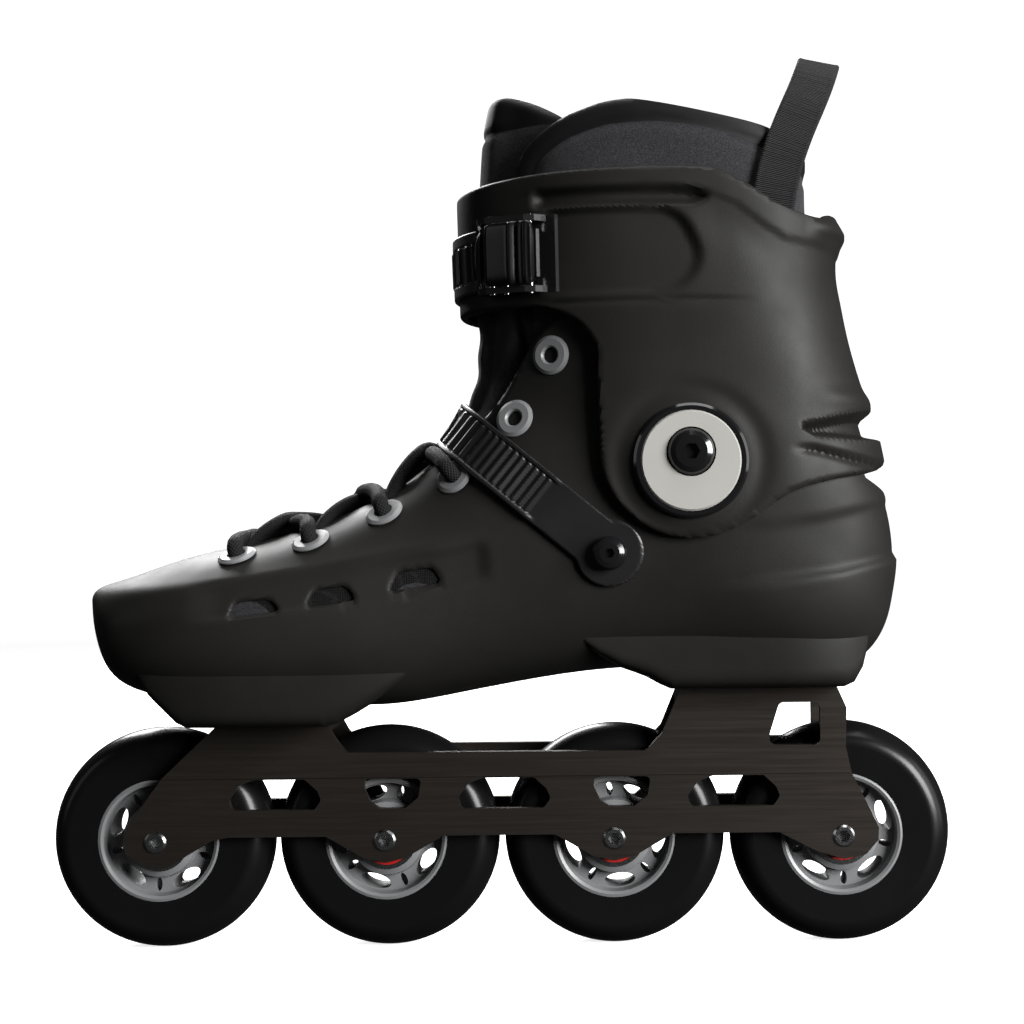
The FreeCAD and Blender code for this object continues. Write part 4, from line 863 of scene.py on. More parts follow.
def cuff_relief(p):
    """Raised and sunk areas of the cuff in its side view: a rim above the lip, a sunk pad for
    the buckle, a groove under it, a ring round the pivot and the slot across the heel."""
    x, z = p[..., 0], p[..., 2]
    rim = step(z - LIP(x), 1.6) * step(x - 14, 20.0)
    pad = outline_distance(x, z, PAD)
    sunk = step(-pad, 3.4) * (0.5 + 1.6 * np.clip((z - 231.0) / 27.0, 0, 1))
    deep = step(-outline_distance(x, z, RECESS), 3.6)
    fade = step(x - 8.0, 16.0)
    groove = np.exp(-((z - 227.4) / 0.9) ** 2) * step(x - 20, 10.0) * step(84 - x, 20.0)
    swell = (np.exp(-(np.maximum(pad, 0) / 7.0) ** 2) * step(x - 24, 20.0)
             * step(254.0 - z, 6.0))
    away = np.hypot(x - DISC[0], z - DISC[1])
    ring = np.exp(-((away - 24.5) / 3.2) ** 2)
    seat = step(21.0 - away, 2.0)
    slot = step(-outline_distance(x, z, REAR_SLOT), 3.0)
    heel = step(x - 116.0, 16.0)
    fins = heel * (1.2 * np.exp(-((z - 194.5) / 3.4) ** 2)
                   + 0.8 * step(z - REAR_LINE(x), 2.0) * step(183.0 - z, 2.0))
    line = np.exp(-((z - REAR_LINE(x)) / 1.3) ** 2) * step(x - 106, 8.0)
    below = step(REAR_LINE(x) - z, 2.5) * step(x - 108, 16.0)
    tail = step(x - 100.0, 30.0) * step(z - LIP(x) - 1.0, 3.0)
    horn = np.exp(-((z - 253.6) / 3.2) ** 2) * step(x - 112.0, 8.0)
    shoulder = np.exp(-((z - LIP(x) + 7.0) / 8.0) ** 2) * step(x - 72.0, 14.0)
    return (0.5 * rim * fade - 1.3 * sunk * fade - 3.6 * deep * fade - 0.8 * groove
            + 0.4 * swell * step(pad, 2.6) - 0.7 * ring + 0.2 * seat - 5.4 * slot - 1.3 * line
            - 1.0 * below + fins + 0.6 * tail + 2.2 * horn - 0.7 * shoulder)


def make_cuff_body(material):
    rows = even_rows(210, 8.6, 22.3)
    turns = np.linspace(0, TAU, 400)

    def inside(p):
        return outline_distance(p[..., 0], p[..., 2], CUFF_OUTLINE)

    points, distance, normals, faces = cut_grid(boot, inside, rows, turns, (8.0, 4.6, 4.6))
    normals = check_side(normals, points)
    p, faces, _ = wall(points, distance, normals, faces, 3.2, 1.4, cuff_relief(points), 1.0)
    return add_piece("cuff_body", p, faces, material, smooth_angle=38)


# ---------------------------------------------------------------- liner and tongue

COLLAR_TOP = rounded(((6.4, 200.0), (6.4, 268.0), (8.0, 279.0), (13.0, 286.5), (24.0, 293.2),
                      (38.8, 297.4), (57.0, 298.4), (71.0, 297.0), (82.4, 295.0), (93.0, 291.6),
                      (101.0, 288.0), (108.0, 285.0), (117.8, 281.6), (150.0, 270.0),
                      (150.0, 60.0), (-150.0, 60.0), (-150.0, 200.0)), 5.0)


def liner_relief(p):
    """Soft swelling of the collar, pulled in by a seam under its rim."""
    x, z = p[..., 0], p[..., 2]
    below = -outline_distance(x, z, COLLAR_TOP)
    seam = np.exp(-((below - 8.5) / 1.5) ** 2)
    puff = np.sin(x * 0.11 + 1.3) * np.sin(z * 0.09) * 0.5
    roll = np.exp(-((below - 3.0) / 4.0) ** 2)
    return puff - 1.1 * seam * step(z - 225, 20.0) + 0.5 * roll


def knit_mark(distance):
    """The cloth's "knit" attribute: one half at an edge, 1 from 4 mm inside the knit."""
    return np.clip(0.5 + distance / 8.0, 0, 1)


def make_liner(cloth):
    """The liner's collar and boot as one padded wall, open at the front for the tongue."""
    def inside(p):
        x, y, z = p[..., 0], np.abs(p[..., 1]), p[..., 2]
        top = outline_distance(x, z, COLLAR_TOP)
        gap = np.interp(z, (133, 200, 235, 262, 300), (31.0, 31.0, 24.0, 20.0, 18.0))
        throat = np.minimum(np.minimum(gap - y, 40.0 - x), z - 133.0)
        return np.maximum(top, throat)

    rows = even_rows(190, 2.0, 23.0)
    turns = np.linspace(0, TAU, 190)
    points, distance, normals, faces = cut_grid(boot, inside, rows, turns, (-3.4, -6.0, -3.6))
    normals = check_side(normals, points)
    relief = liner_relief(points)
    p, faces, used = wall(points, distance, normals, faces, 6.4, 3.0, relief, -0.6)
    below = -outline_distance(p[:, 0], p[:, 2], COLLAR_TOP)
    knit = knit_mark(np.where(p[:, 2] > 150.0, below - 8.6, 4.0))
    knit[len(used):] = 0.0
    return add_piece("liner_collar_padding", p, faces, cloth, smooth_angle=60,
                     marks={"knit": knit})


def make_tongue_piece(cloth):
    """Padded tongue: the fan surface in front of the shin, thick in its middle and thin
    towards its edges, tucked inside the collar at its top."""
    def inside(p):
        x, y, z = p[..., 0], np.abs(p[..., 1]), p[..., 2]
        toe = -110.0 - x
        half = np.interp(z, (140, 170, 230, 300), (25.0, 27.0, 27.5, 33.0))
        crown = 306.6 - 0.0055 * y ** 2 - 0.05 * np.maximum(x - 4.0, 0) ** 1.6
        back = x - np.interp(z, (140, 160, 200, 228, 300), (-10, 4, 20, 24.0, 27.0))
        return np.maximum(np.maximum(toe, y - half), np.maximum(z - crown, back))

    def surface(s, t, front, back, side):
        tuck = 6.6 * step(s - 18.4, 3.0)
        return boot(s, t, front, back, side - tuck)

    rows = even_rows(220, 4.2, 23.6)
    turns = np.linspace(-1.5, 1.5, 90)
    points, distance, normals, faces = cut_grid(surface, inside, rows, turns,
                                                (-3.6, -7.0, -3.6))
    normals = check_side(normals, points)
    y, z = np.abs(points[..., 1]), points[..., 2]
    low = step(232.0 - z, 14.0)
    centre = step(13.5 - y, 5.0)
    high = step(z - 230.0, 14.0) * step(19.0 - y, 9.0)
    seams = np.exp(-((z - 292.0) / 1.4) ** 2) * high
    quilt = 0.35 * np.sin(z * 0.42) * centre * low
    relief = 2.5 * centre * low + 2.7 * high - 1.0 * seams + quilt
    p, faces, _ = wall(points, distance, normals, faces, 8.0, 3.6, relief, 0.0)
    return add_piece("tongue_padding", p, faces, cloth, smooth_angle=60,
                     marks={"knit": knit_mark(292.0 - p[:, 2])})


def make_footbed_piece(cloth):
    """Insole: the boot's inside outline at sole height, slightly cupped round its edge."""
    rows = even_rows(110, 4.0, 12.6)
    across = np.linspace(-1, 1, 46)
    ends = _fan_at(rows)
    ex, ez = ends[:, 0] - ends[:, 2], ends[:, 1] - ends[:, 3]
    length = np.hypot(ex, ez)
    base = ends[:, 2:4] + np.stack((ex, ez), -1) / length[:, None] * 15.4
    half = (ends[:, 4] - 10.5) * 0.86
    first, last = step(rows - 4.0, 1.6), step(12.9 - rows, 2.2)
    half = half * np.sqrt(np.clip(first * last, 0.02, 1))
    y = half[:, None] * across
    cup = 3.0 * np.abs(across) ** 6
    top = np.stack((np.broadcast_to(base[:, :1], y.shape), y, base[:, 1:2] + cup), -1)
    bottom = top - np.array((0, 0, 3.0))
    p = np.stack((top, bottom), 0)
    rows_n, cols = y.shape
    index = np.arange(rows_n * cols).reshape(rows_n, cols)
    quad = np.stack((index[:-1, :-1], index[:-1, 1:], index[1:, 1:], index[1:, :-1]),
                    -1).reshape(-1, 4)
    total = rows_n * cols
    loop = np.concatenate((index[0, :-1], index[:-1, -1], index[-1, :0:-1], index[:0:-1, 0]))
    after = np.roll(loop, -1)
    rim = np.stack((loop, after, after + total, loop + total), -1)
    faces = np.vstack((quad, quad[:, ::-1] + total, rim[:, ::-1])).tolist()
    flat = p.reshape(-1, 3)
    return add_piece("footbed_pad", flat, outward(flat, faces), cloth, smooth_angle=50,
                     marks={"knit": np.ones(len(flat))})


# ---------------------------------------------------------------- straps and buckles

COVER_FRONT, COVER_END = -12.4, 12.9  # a buckle's outside along its strap, from its own middle
NOSE_END, LEVER_START = -8.2, -6.6  # the gap that the lever's front edge swings in


def strap_band(name, grow, inside, rows, turns, thickness, teeth, material):
    """A ladder strap on the boot's surface. Teeth are a saw wave along its length, held
    between two plain rails."""
    points, distance, normals, faces = cut_grid(boot, inside, rows, turns, grow)
    normals = check_side(normals, points)
    relief = teeth(points)
    p, faces, _ = wall(points, distance, normals, faces, thickness, 0.5, relief, 0.0)
    return add_piece(name, p, faces, material, smooth_angle=32)


def make_cuff_strap(material):
    low, high = settings().ladder_low, settings().ladder_high
    middle = (low + high) / 2

    def inside(p):
        x, y, z = p[..., 0], p[..., 1], p[..., 2]
        near_end = (x - 2.0) * 0.86 + (-y - 30.0) * 0.5
        far_end = np.where(y > 20.0, np.hypot(np.maximum(x - 44.0, 0), z - middle)
                           - (high - low) / 2, -1e3)
        near = np.where(y < 0, near_end, -1e3)
        return np.maximum(np.maximum(np.abs(z - middle) - (high - low) / 2, near), far_end)

    def teeth(p):
        x, y, z = p[..., 0], p[..., 1], p[..., 2]
        run = np.where(x < 20, y, 34 + (x - 20))
        wave = np.abs(((run / 2.9) % 1.0) - 0.5) * 2
        on = step(6.4 - np.abs(z - middle), 1.2) * step(18.0 - run, 4.0)
        rail = step(np.abs(z - middle) - 6.6, 1.0)
        return on * (1.1 * step(wave - 0.45, 0.5)) + 0.7 * rail * step(18.0 - run, 4.0)

    rows = even_rows(200, 12.6, 19.6)
    turns = np.linspace(-1.85, 2.5, 260)
    return strap_band("cuff_ladder_band", (9.4, 6.1, 6.1), inside, rows, turns, 1.5, teeth,
                      material)


def make_instep_strap(material):
    half = settings().strap_half_width
    sx, sz = STRAP_PIVOT
    ax, az = -0.773, 0.634

    def frame_of(p):
        dx, dz = p[..., 0] - sx, p[..., 2] - sz
        return dx * ax + dz * az, -dx * az + dz * ax

    def inside(p):
        run, off = frame_of(p)
        near = np.maximum(np.abs(off) - half, -run)
        disc = np.hypot(run, off) - 11.6
        waist = np.hypot(run, off)
        body = np.minimum(near, disc)
        body = np.where(waist < 20, np.minimum(near, disc), near)
        far = np.where(p[..., 1] > 0, 54.0 - run, -1e3)
        return np.maximum(body, far)

    def teeth(p):
        run, off = frame_of(p)
        along = np.where(np.abs(p[..., 1]) > 14, run, run + (14 - np.abs(p[..., 1])) * 0.8)
        wave = (along / 3.0) % 1.0
        on = step(along - 31.0, 3.0) * step(7.0 - np.abs(off), 1.0)
        rail = step(np.abs(off) - 7.2, 0.8) * step(along - 29.0, 4.0)
        return 0.9 * on * step(0.5 - np.abs(wave - 0.5) * 2, 0.9) + 0.8 * rail

    rows = even_rows(400, 7.4, 15.2)
    turns = np.linspace(-1.95, 1.8, 400)
    return strap_band("instep_ladder_band", (1.9, 1.9, 1.9), inside, rows, turns, 1.5, teeth,
                      material)


def buckle_cover(name, joint, first, last, material):
    """Part of a buckle's outside between two places along the strap: a plan with a half-round
    front end and a square grip end, a low crown, a raised bar over a pin and two ribs."""
    count_along, count_round = 90, 56
    x = np.linspace(first, last, count_along)
    round_end = np.clip((x - COVER_FRONT) / 10.0, 0, 1)
    half = 10.7 * np.sqrt(np.clip(1 - (1 - round_end) ** 2, 0, 1))
    grip = np.clip((last - x) / 1.6, 0, 1)
    half = half * (0.86 + 0.14 * np.sqrt(1 - (1 - grip) ** 2))
    turn = np.linspace(0, TAU, count_round + 1)[:-1]
    c, w = np.cos(turn), np.sin(turn)
    across = np.sign(c) * np.abs(c) ** (2 / 5.0)
    out = np.sign(w) * np.abs(w) ** (2 / 3.2)
    base = np.interp(x, (COVER_FRONT, -6, 6, COVER_END), (7.3, 9.0, 8.8, 8.2))
    crown = np.interp(x, (COVER_FRONT, -9, -6.6, -4, 4, 9, COVER_END),
                      (0.9, 1.4, 1.9, 2.8, 3.1, 2.5, 2.0))
    crown *= np.sqrt(np.clip((x - first) / 1.4, 0.2, 1))
    bars = 0.9 * np.exp(-((x - 5.6) / 0.9) ** 2)
    for centre in (9.0, 11.3):
        bars += 0.6 * np.exp(-((x - centre) / 0.55) ** 2)
    bars -= 0.5 * np.exp(-((x - 7.4) / 0.5) ** 2)
    top = base + crown + bars
    low = base - 0.4
    y = (top + low)[:, None] / 2 + (top - low)[:, None] / 2 * out
    z = half[:, None] * across
    p = np.stack((np.broadcast_to(x[:, None], y.shape), y, z), -1)
    flat = lever_axes(joint)(p.reshape(-1, 3))
    return add_piece(name, flat, outward(flat, tube_grid(p)), material, smooth_angle=40)


def lever_axes(joint):
    """Function from a buckle's own frame (x along the strap, y out, z across) to the skate's,
    from its lever's and its catch's joints in the record."""
    joints = {j["name"]: j for j in frame["record"]["behaviour"]["joints"]}
    hinge = joints[f"{joint}_lever_lift"]
    catch = joints[f"{joint}_pawl_lift"]
    across = np.array(hinge["axis"], float)
    a = np.array(hinge["pos_m"], float) / MM
    b = np.array(catch["pos_m"], float) / MM
    local_a, local_b = np.array((-5.0, 7.4)), np.array((9.9, 5.6))
    run = b - a
    span = local_b - local_a
    length = np.hypot(*span)
    run = run / np.linalg.norm(run)
    perpendicular = np.cross(across, run)
    cosine, sine = span / length
    along = cosine * run - sine * perpendicular
    out = sine * run + cosine * perpendicular
    origin = a - along * local_a[0] - out * local_a[1]
    return lambda p: origin + p[:, 0:1] * along + p[:, 1:2] * out + p[:, 2:3] * across


# ---------------------------------------------------------------- lace

def tube(path_points, radius, count, sides):
    """A round tube on a smooth path, with narrowed ends and its UV map in millimetres along
    and round it."""
    path, length = smooth_path(path_points, count)
    ahead = np.gradient(path, axis=0)
    ahead /= np.linalg.norm(ahead, axis=1, keepdims=True)
    up = np.zeros_like(path)
    current = np.array((0.0, 0.0, 1.0))
    for i, direction in enumerate(ahead):
        current = current - direction * current.dot(direction)
        current /= np.linalg.norm(current)
        up[i] = current
    side = np.cross(ahead, up)
    turn = np.linspace(0, TAU, sides + 1)[:-1]
    r = np.full(count, radius)
    r[0] = r[-1] = radius * 0.5
    ring = (side[:, None] * np.cos(turn)[None, :, None]
            + up[:, None] * np.sin(turn)[None, :, None])
    p = path[:, None] + ring * r[:, None, None]
    run = np.linspace(0, length, count)
    uv = np.stack((np.broadcast_to(run[:, None], p.shape[:2]),
                   np.broadcast_to((turn * radius)[None], p.shape[:2])), -1)
    flat = p.reshape(-1, 3)
    return flat, tube_grid(p), uv.reshape(-1, 2)


def crest(x):
    """Height of the boot's surface in its middle plane at a place along it."""
    ridge = boot(np.linspace(3.0, 14.0, 200), np.zeros(200), 0, 0, 0)
    return np.interp(x, ridge[:, 0], ridge[:, 2])


def lace_path(sign):
    """Points of half the lace, from the middle of the lowest bar: it drops through each eyelet from
    outside, comes up between the flaps and crosses to the next."""
    seats = {(side, i): on_boot(x, z, side) for side in (-1, 1)
             for i, (x, z) in enumerate(EYELETS[:4])}
    lift = settings().lace_radius
    mid = (seats[-1, 0][0] + seats[1, 0][0]) / 2
    crown = crest(mid[0])
    points = [np.array((mid[0] - 0.6, 0.0, crown + lift - 0.6)),
              np.array((mid[0] - 0.4, sign * 12.0, crown + lift - 1.4))]
    side = sign
    for i in range(4):
        here, normal = seats[side, i]
        inward = np.array((0.0, -side, 0.0))
        tangent = inward - normal * normal.dot(inward)
        tangent /= np.linalg.norm(tangent)
        points.append(here + normal * (lift + 0.6) + tangent * 6.0)
        points.append(here + normal * (lift + 0.2) + tangent * 0.8)
        points.append(here - normal * 3.6 - tangent * 0.2)
        points.append(here - normal * 5.4 + tangent * 5.0)
        if i == 3:
            points.append(here - normal * 6.0 + tangent * 9.0 + np.array((2.0, 0, 3.0)))
            break
        onward = seats[-side, i + 1][0]
        cross = (here + onward) / 2
        height = crest(cross[0]) + lift + (-0.8 if sign > 0 else 1.8)
        points.append(here - normal * 2.8 + tangent * 12.0 + np.array((2.5, 0, 1.0)))
        points.append(np.array((cross[0] - 1.0, side * 8.0, height - 0.4)))
        points.append(np.array((cross[0] + 1.0, -side * 2.0, height + 0.4)))
        side = -side
    return points


def make_lace(material):
    radius = settings().lace_radius
    parts = [tube(lace_path(sign), radius, 360, 14) for sign in (-1, 1)]
    p, faces, uv = join_meshes(parts)
    return add_piece("boot_lace", p, outward(p, faces), material, uv=uv, smooth_angle=60)


# ---------------------------------------------------------------- pull loop

LOOP_PATH = ((97.0, -42.6, 256.0), (99.5, -42.0, 270.0), (105.5, -38.0, 288.0),
             (112.0, -31.0, 303.0), (116.0, -20.5, 313.5), (117.6, -8.0, 317.6),
             (117.6, 8.0, 317.6), (116.0, 20.5, 313.5), (112.0, 31.0, 303.0),
             (105.5, 38.0, 288.0), (99.5, 42.0, 270.0), (97.0, 42.6, 256.0))


def make_pull_loop(material):
    """A flat strip of webbing carried along the loop, with thicker folded edges."""
    path, length = smooth_path(LOOP_PATH, 220)
    across = np.broadcast_to(np.array((0.98, 0.0, -0.2)), path.shape)
    half = settings().loop_width / 2
    x = np.linspace(-half, half, 25)
    edge = 0.8 + 0.16 * np.exp(-((np.abs(x) - half + 0.8) / 0.6) ** 2)
    edge[[0, -1]] = 0.35
    profile = np.vstack((np.stack((x, edge), -1), np.stack((x[::-1], -edge[::-1]), -1)))
    p = sweep(path, profile, across)
    run = np.linspace(0, length, len(path))
    ribs = 0.16 * np.sin(run * TAU / 1.7)
    direction = np.sign(profile[:, 1])
    ahead = np.gradient(path, axis=0)
    ahead /= np.linalg.norm(ahead, axis=1, keepdims=True)
    side = across - ahead * (across * ahead).sum(axis=1, keepdims=True)
    side /= np.linalg.norm(side, axis=1, keepdims=True)
    out = np.cross(ahead, side)
    p = p + out[:, None] * direction[None, :, None] * ribs[:, None, None]
    uv = np.stack((np.broadcast_to(run[:, None], p.shape[:2]),
                   np.broadcast_to(profile[None, :, 0], p.shape[:2])), -1)
    flat = p.reshape(-1, 3)
    return add_piece("pull_loop_webbing", flat, outward(flat, tube_grid(p)), material,
                     uv=uv.reshape(-1, 2), smooth_angle=50)


# ---------------------------------------------------------------- studio

VIEW_PLACE = (45.9, -650.0, 144.0)
VIEW_WIDTH = 375.3  # width seen at the skate's middle plane
VIEW_ROLL = -0.0104
SHIFT = (-113.0 / 1024, 35.0 / 1024)


def make_camera():
    camera = bpy.data.cameras.new("view")
    camera.sensor_width = 36.0
    camera.lens = 36.0 * -VIEW_PLACE[1] / VIEW_WIDTH
    camera.shift_x, camera.shift_y = SHIFT
    camera.clip_start = 0.02
    camera.clip_end = 30.0
    holder = bpy.data.objects.new("view", camera)
    bpy.context.scene.collection.objects.link(holder)
    holder.matrix_world = (Matrix.Translation(Vector(VIEW_PLACE) * MM)
                           @ Matrix.Rotation(math.pi / 2, 4, "X")
                           @ Matrix.Rotation(VIEW_ROLL, 4, "Z"))
    bpy.context.scene.camera = holder


def area_light(name, place, target, size, power, colour=(1, 1, 1)):
    light = bpy.data.lights.new(name, "AREA")
    light.shape = "RECTANGLE"
    light.size, light.size_y = size
    light.energy = power
    light.color = colour
    holder = bpy.data.objects.new(name, light)
    bpy.context.scene.collection.objects.link(holder)
    holder.location = place
    holder.rotation_euler = (Vector(target) - Vector(place)).to_track_quat("-Z", "Y").to_euler()
    return holder


def paper_material():
    n = Nodes("studio_paper")
    n.set(Base_Color=(0.9, 0.9, 0.9, 1), Roughness=1.0)
    n.shader.inputs["Specular IOR Level"].default_value = 0.0
    n.shader.inputs["Emission Color"].default_value = (1, 1, 1, 1)
    n.shader.inputs["Emission Strength"].default_value = settings().paper_glow
    return n.material


def make_floor():
    """Pale paper bowl: a flat round floor that turns up into a wall all round the skate. It
    shows itself but lights nothing, so the skate's shading comes from the lamps alone."""
    reach, height, bend, segments = 3.0, 3.2, 0.7, 96
    turns = np.linspace(0, math.pi / 2, 13)
    profile = [(1.5, 0.0)] + [(reach - bend + bend * math.sin(a), bend * (1 - math.cos(a)))
                              for a in turns] + [(reach, height)]
    angles = np.linspace(0, TAU, segments + 1)[:-1]
    points = [(0.0, 0.0, 0.0)] + [(r * math.cos(a), r * math.sin(a), z)
                                  for r, z in profile for a in angles]
    faces = [(0, 1 + i, 1 + (i + 1) % segments) for i in range(segments)]
    for ring in range(len(profile) - 1):
        start = 1 + ring * segments
        for i in range(segments):
            after = (i + 1) % segments
            faces.append((start + i, start + segments + i, start + segments + after,
                          start + after))
    mesh = bpy.data.meshes.new("studio_paper")
    mesh.from_pydata(points, [], faces)
    mesh.shade_smooth()
    mesh.materials.append(paper_material())
    floor = bpy.data.objects.new("studio_paper", mesh)
    bpy.context.scene.collection.objects.link(floor)
    floor.visible_diffuse = False
    floor.visible_glossy = False


def make_studio():
    world = bpy.data.worlds.new("studio")
    world.use_nodes = True
    background = world.node_tree.nodes["Background"]
    background.inputs[0].default_value = (1.0, 1.0, 1.0, 1)
    background.inputs[1].default_value = settings().room_light
    bpy.context.scene.world = world
    aim = (0.02, 0, 0.16)
    power = settings().key_power
    area_light("overhead_soft", (0.15, 0.05, 1.5), aim, (1.6, 0.8), power * 0.8)
    area_light("right_soft", (1.25, -0.95, 0.5), aim, (0.8, 0.8), power * 3.0)
    area_light("right_rim", (1.5, -0.1, 0.45), aim, (0.5, 1.0), power * 0.2)
    area_light("left_soft", (-1.5, -0.35, 0.6), aim, (0.4, 0.9), power * 0.05)
    area_light("far_soft", (-0.5, 1.3, 1.05), aim, (0.9, 0.7), power * 1.6)
    bpy.context.scene.view_settings.view_transform = "Standard"


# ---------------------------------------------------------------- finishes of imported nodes

def dress(name, material):
    """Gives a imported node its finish."""
    piece = frame["nodes"][name]
    for slot in piece.material_slots:
        slot.material = material
    if not piece.material_slots:
        piece.data.materials.append(material)


def dress_nodes(table):
    for material, names in table:
        for name in names:
            dress(name, material)


def numbered(*stems):
    return [f"{stem}_{i}" for stem in stems for i in (1, 2, 3, 4)]


# ---------------------------------------------------------------- settings

class SkateSettings(bpy.types.PropertyGroup):
    """Sizes and colours that a user may change."""

    shell_colour: FloatVectorProperty(
        name="Boot plastic", description="Colour of the shell and the cuff",
        default=(0.0115, 0.011, 0.0104), subtype="COLOR", min=0, max=1)
    strap_colour: FloatVectorProperty(
        name="Strap plastic", description="Colour of both ladder straps",
        default=(0.0065, 0.0065, 0.0068), subtype="COLOR", min=0, max=1)
    grey_colour: FloatVectorProperty(
        name="Grey plastic", description="Colour of the pivot discs",
        default=(0.30, 0.295, 0.275), subtype="COLOR", min=0, max=1)
    satin_colour: FloatVectorProperty(
        name="Satin grey", description="Colour of the wheel cores and eyelets",
        default=(0.15, 0.152, 0.155), subtype="COLOR", min=0, max=1)
    frame_colour: FloatVectorProperty(
        name="Anodised metal", description="Colour of the wheel frame",
        default=(0.052, 0.044, 0.038), subtype="COLOR", min=0, max=1)
    ladder_low: FloatProperty(
        name="Strap foot", description="Height of the cuff strap's lower edge, in mm",
        default=233.6)
    ladder_high: FloatProperty(
        name="Strap top", description="Height of the cuff strap's upper edge, in mm",
        default=255.2)
    strap_half_width: FloatProperty(
        name="Instep strap", description="Half the instep strap's width, in mm", default=8.9)
    key_power: FloatProperty(
        name="Key light", description="Power of the overhead light, in watts", default=22.0)
    room_light: FloatProperty(
        name="Room light", description="Strength of the light from all round", default=0.025)
    paper_glow: FloatProperty(
        name="Paper glow", description="Light that the backdrop gives off", default=0.8)
    lace_radius: FloatProperty(
        name="Lace", description="Radius of the lace, in mm", default=2.8)
    loop_width: FloatProperty(
        name="Pull loop", description="Width of the pull loop's webbing, in mm", default=15.0)


def finish_piece(piece, body, slot, *nodes):
    """Hangs a piece on the body that it rides on and hides the nodes that it stands for; its finish
    slot is not used.
    """
    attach(piece, body)
    if nodes:
        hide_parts(*nodes)


class SKATE_OT_studio(bpy.types.Operator):
    """Floor, soft lights and the camera."""
    bl_idname = "skate.studio"
    bl_label = "Studio"

    def execute(self, context):
        make_studio()
        make_floor()
        make_camera()
        return {"FINISHED"}


class SKATE_OT_shell(bpy.types.Operator):
    """Hard shell with its vents, nets and mounting pads."""
    bl_idname = "skate.shell"
    bl_label = "Boot shell"

    def execute(self, context):
        plastic = shell_plastic()
        finish_piece(make_boot_shell(plastic), "boot_and_frame", "shell_plastic", "boot_shell")
        for pad in make_pads(plastic):
            finish_piece(pad, "boot_and_frame", "shell_plastic")
        finish_piece(make_vent_net(vent_mesh_cloth()), "boot_and_frame", "mesh_fabric",
                     "vent_mesh")
        return {"FINISHED"}


class SKATE_OT_cuff(bpy.types.Operator):
    """Hinged cuff."""
    bl_idname = "skate.cuff"
    bl_label = "Cuff"

    def execute(self, context):
        finish_piece(make_cuff_body(bpy.data.materials["boot_plastic"]), "cuff",
                     "shell_plastic", "cuff")
        return {"FINISHED"}


class SKATE_OT_liner(bpy.types.Operator):
    """Padded liner, tongue and footbed."""
    bl_idname = "skate.liner"
    bl_label = "Liner and tongue"

    def execute(self, context):
        cloth = padded_cloth()
        liner = make_liner(cloth)
        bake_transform(liner)
        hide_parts("liner_boot", "liner_collar")
        tongue = make_tongue_piece(cloth)
        finish_piece(tongue, "boot_and_frame", "liner_foam", "tongue")
        footbed = make_footbed_piece(cloth)
        finish_piece(footbed, "boot_and_frame", "liner_foam", "footbed")
        return {"FINISHED"}


class SKATE_OT_straps(bpy.types.Operator):
    """Ladder straps and the buckle levers."""
    bl_idname = "skate.straps"
    bl_label = "Straps and buckles"

    def execute(self, context):
        plastic = strap_plastic()
        finish_piece(make_cuff_strap(plastic), "cuff", "strap_plastic", "cuff_ladder_strap")
        finish_piece(make_instep_strap(plastic), "boot_and_frame", "strap_plastic",
                     "instep_ladder_strap")
        lever = lever_plastic()
        for joint, body in (("cuff", "cuff"), ("instep", "boot_and_frame")):
            node = f"{joint}_buckle_lever"
            cover = buckle_cover(f"{joint}_lever_cover", joint, LEVER_START, COVER_END, lever)
            finish_piece(cover, node, "lever_plastic", node)
            nose = buckle_cover(f"{joint}_buckle_nose", joint, COVER_FRONT, NOSE_END, lever)
            finish_piece(nose, body, "lever_plastic")
        return {"FINISHED"}


class SKATE_OT_lace(bpy.types.Operator):
    """Lace and pull loop."""
    bl_idname = "skate.lace"
    bl_label = "Lace and pull loop"

    def execute(self, context):
        finish_piece(make_lace(braid()), "boot_and_frame", "lace_cord", "lace")
        finish_piece(make_pull_loop(webbing()), "cuff", "webbing", "pull_loop")
        return {"FINISHED"}


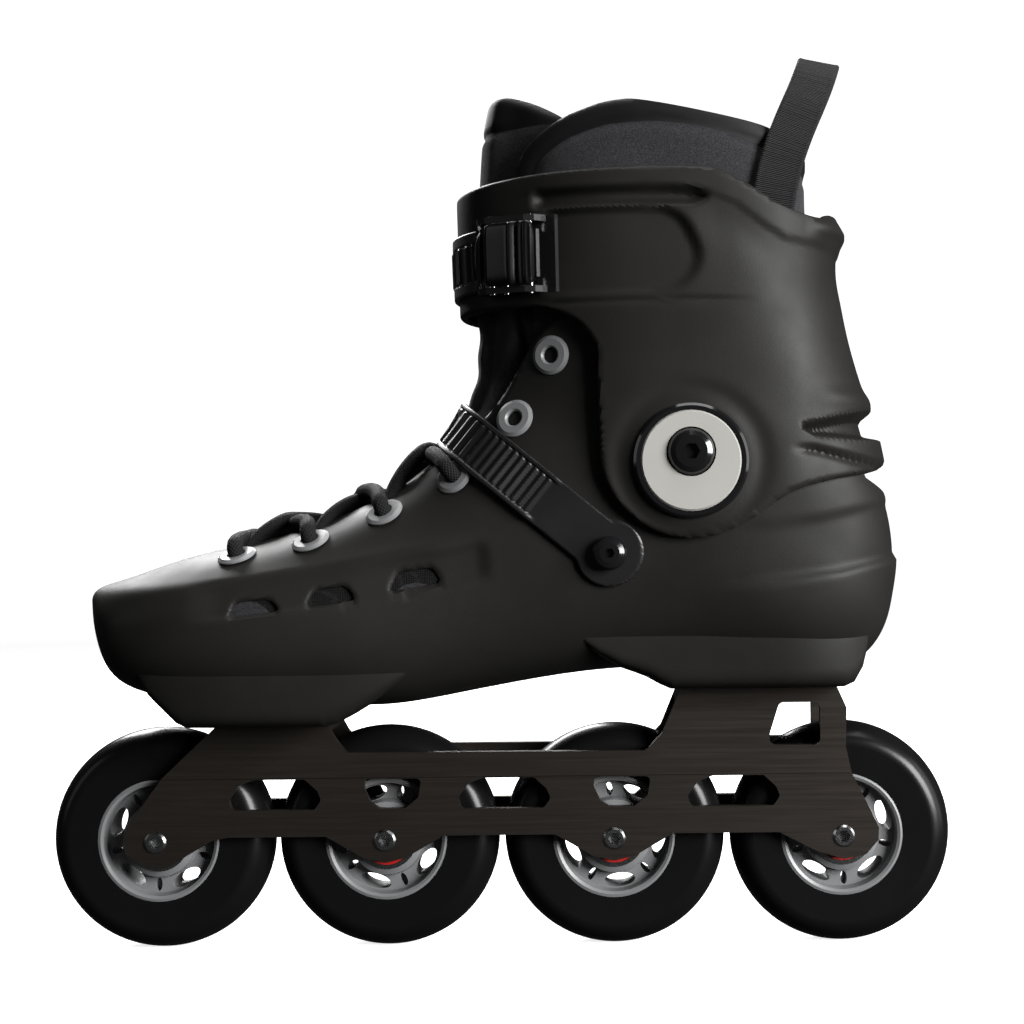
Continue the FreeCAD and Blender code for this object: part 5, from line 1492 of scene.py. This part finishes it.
class SKATE_OT_finishes(bpy.types.Operator):
    """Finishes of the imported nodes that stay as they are."""
    bl_idname = "skate.finishes"
    bl_label = "Metal, wheels and fittings"

    def execute(self, context):
        bright = steel("bright_steel", (0.45, 0.455, 0.46))
        dark_steel = steel("dark_steel", (0.12, 0.12, 0.12), 0.32)
        dress_nodes((
            (anodised(), ["frame"]),
            (bright, ["wheel_axles", "bearing_inner_races", "bearing_spacers",
                      "cuff_buckle_pins", "instep_buckle_pins"]
             + numbered("outer_races", "bearing_balls")),
            (red_shield(), numbered("bearing_shields")),
            (grey_plastic(), ["pivot_discs"]),
            (eyelet_plastic(), ["lace_eyelets"] + numbered("wheel_core")),
            (tyre_rubber(), numbered("tyre")),
            (gloss_plastic(), ["pivot_rings", "pivot_screws", "strap_screws"]),
            (dark_steel, ["mount_bolts", "cuff_buckle_pawl", "instep_buckle_pawl"]),
            (bpy.data.materials["lever_plastic"], ["cuff_buckle_base", "instep_buckle_base"]),
        ))
        return {"FINISHED"}


OPERATORS = (SKATE_OT_studio, SKATE_OT_shell, SKATE_OT_cuff, SKATE_OT_liner, SKATE_OT_straps,
             SKATE_OT_lace, SKATE_OT_finishes)


class SKATE_PT_panel(bpy.types.Panel):
    """Lists the settings and the operators."""
    bl_idname = "SKATE_PT_panel"
    bl_label = "Inline skate"
    bl_space_type = "VIEW_3D"
    bl_region_type = "UI"
    bl_category = "Skate"

    def draw(self, context):
        for name in SkateSettings.__annotations__:
            self.layout.prop(context.scene.skate, name)
        for operator in OPERATORS:
            self.layout.operator(operator.bl_idname)


CLASSES = (SkateSettings, *OPERATORS, SKATE_PT_panel)


def register():
    for cls in CLASSES:
        bpy.utils.register_class(cls)
    bpy.types.Scene.skate = PointerProperty(type=SkateSettings)


def unregister():
    del bpy.types.Scene.skate
    for cls in reversed(CLASSES):
        bpy.utils.unregister_class(cls)


def main():
    register()
    bpy.ops.skate.studio()
    bpy.ops.skate.shell()
    bpy.ops.skate.cuff()
    bpy.ops.skate.liner()
    bpy.ops.skate.straps()
    bpy.ops.skate.lace()
    bpy.ops.skate.finishes()


if __name__ == "__main__":
    main()
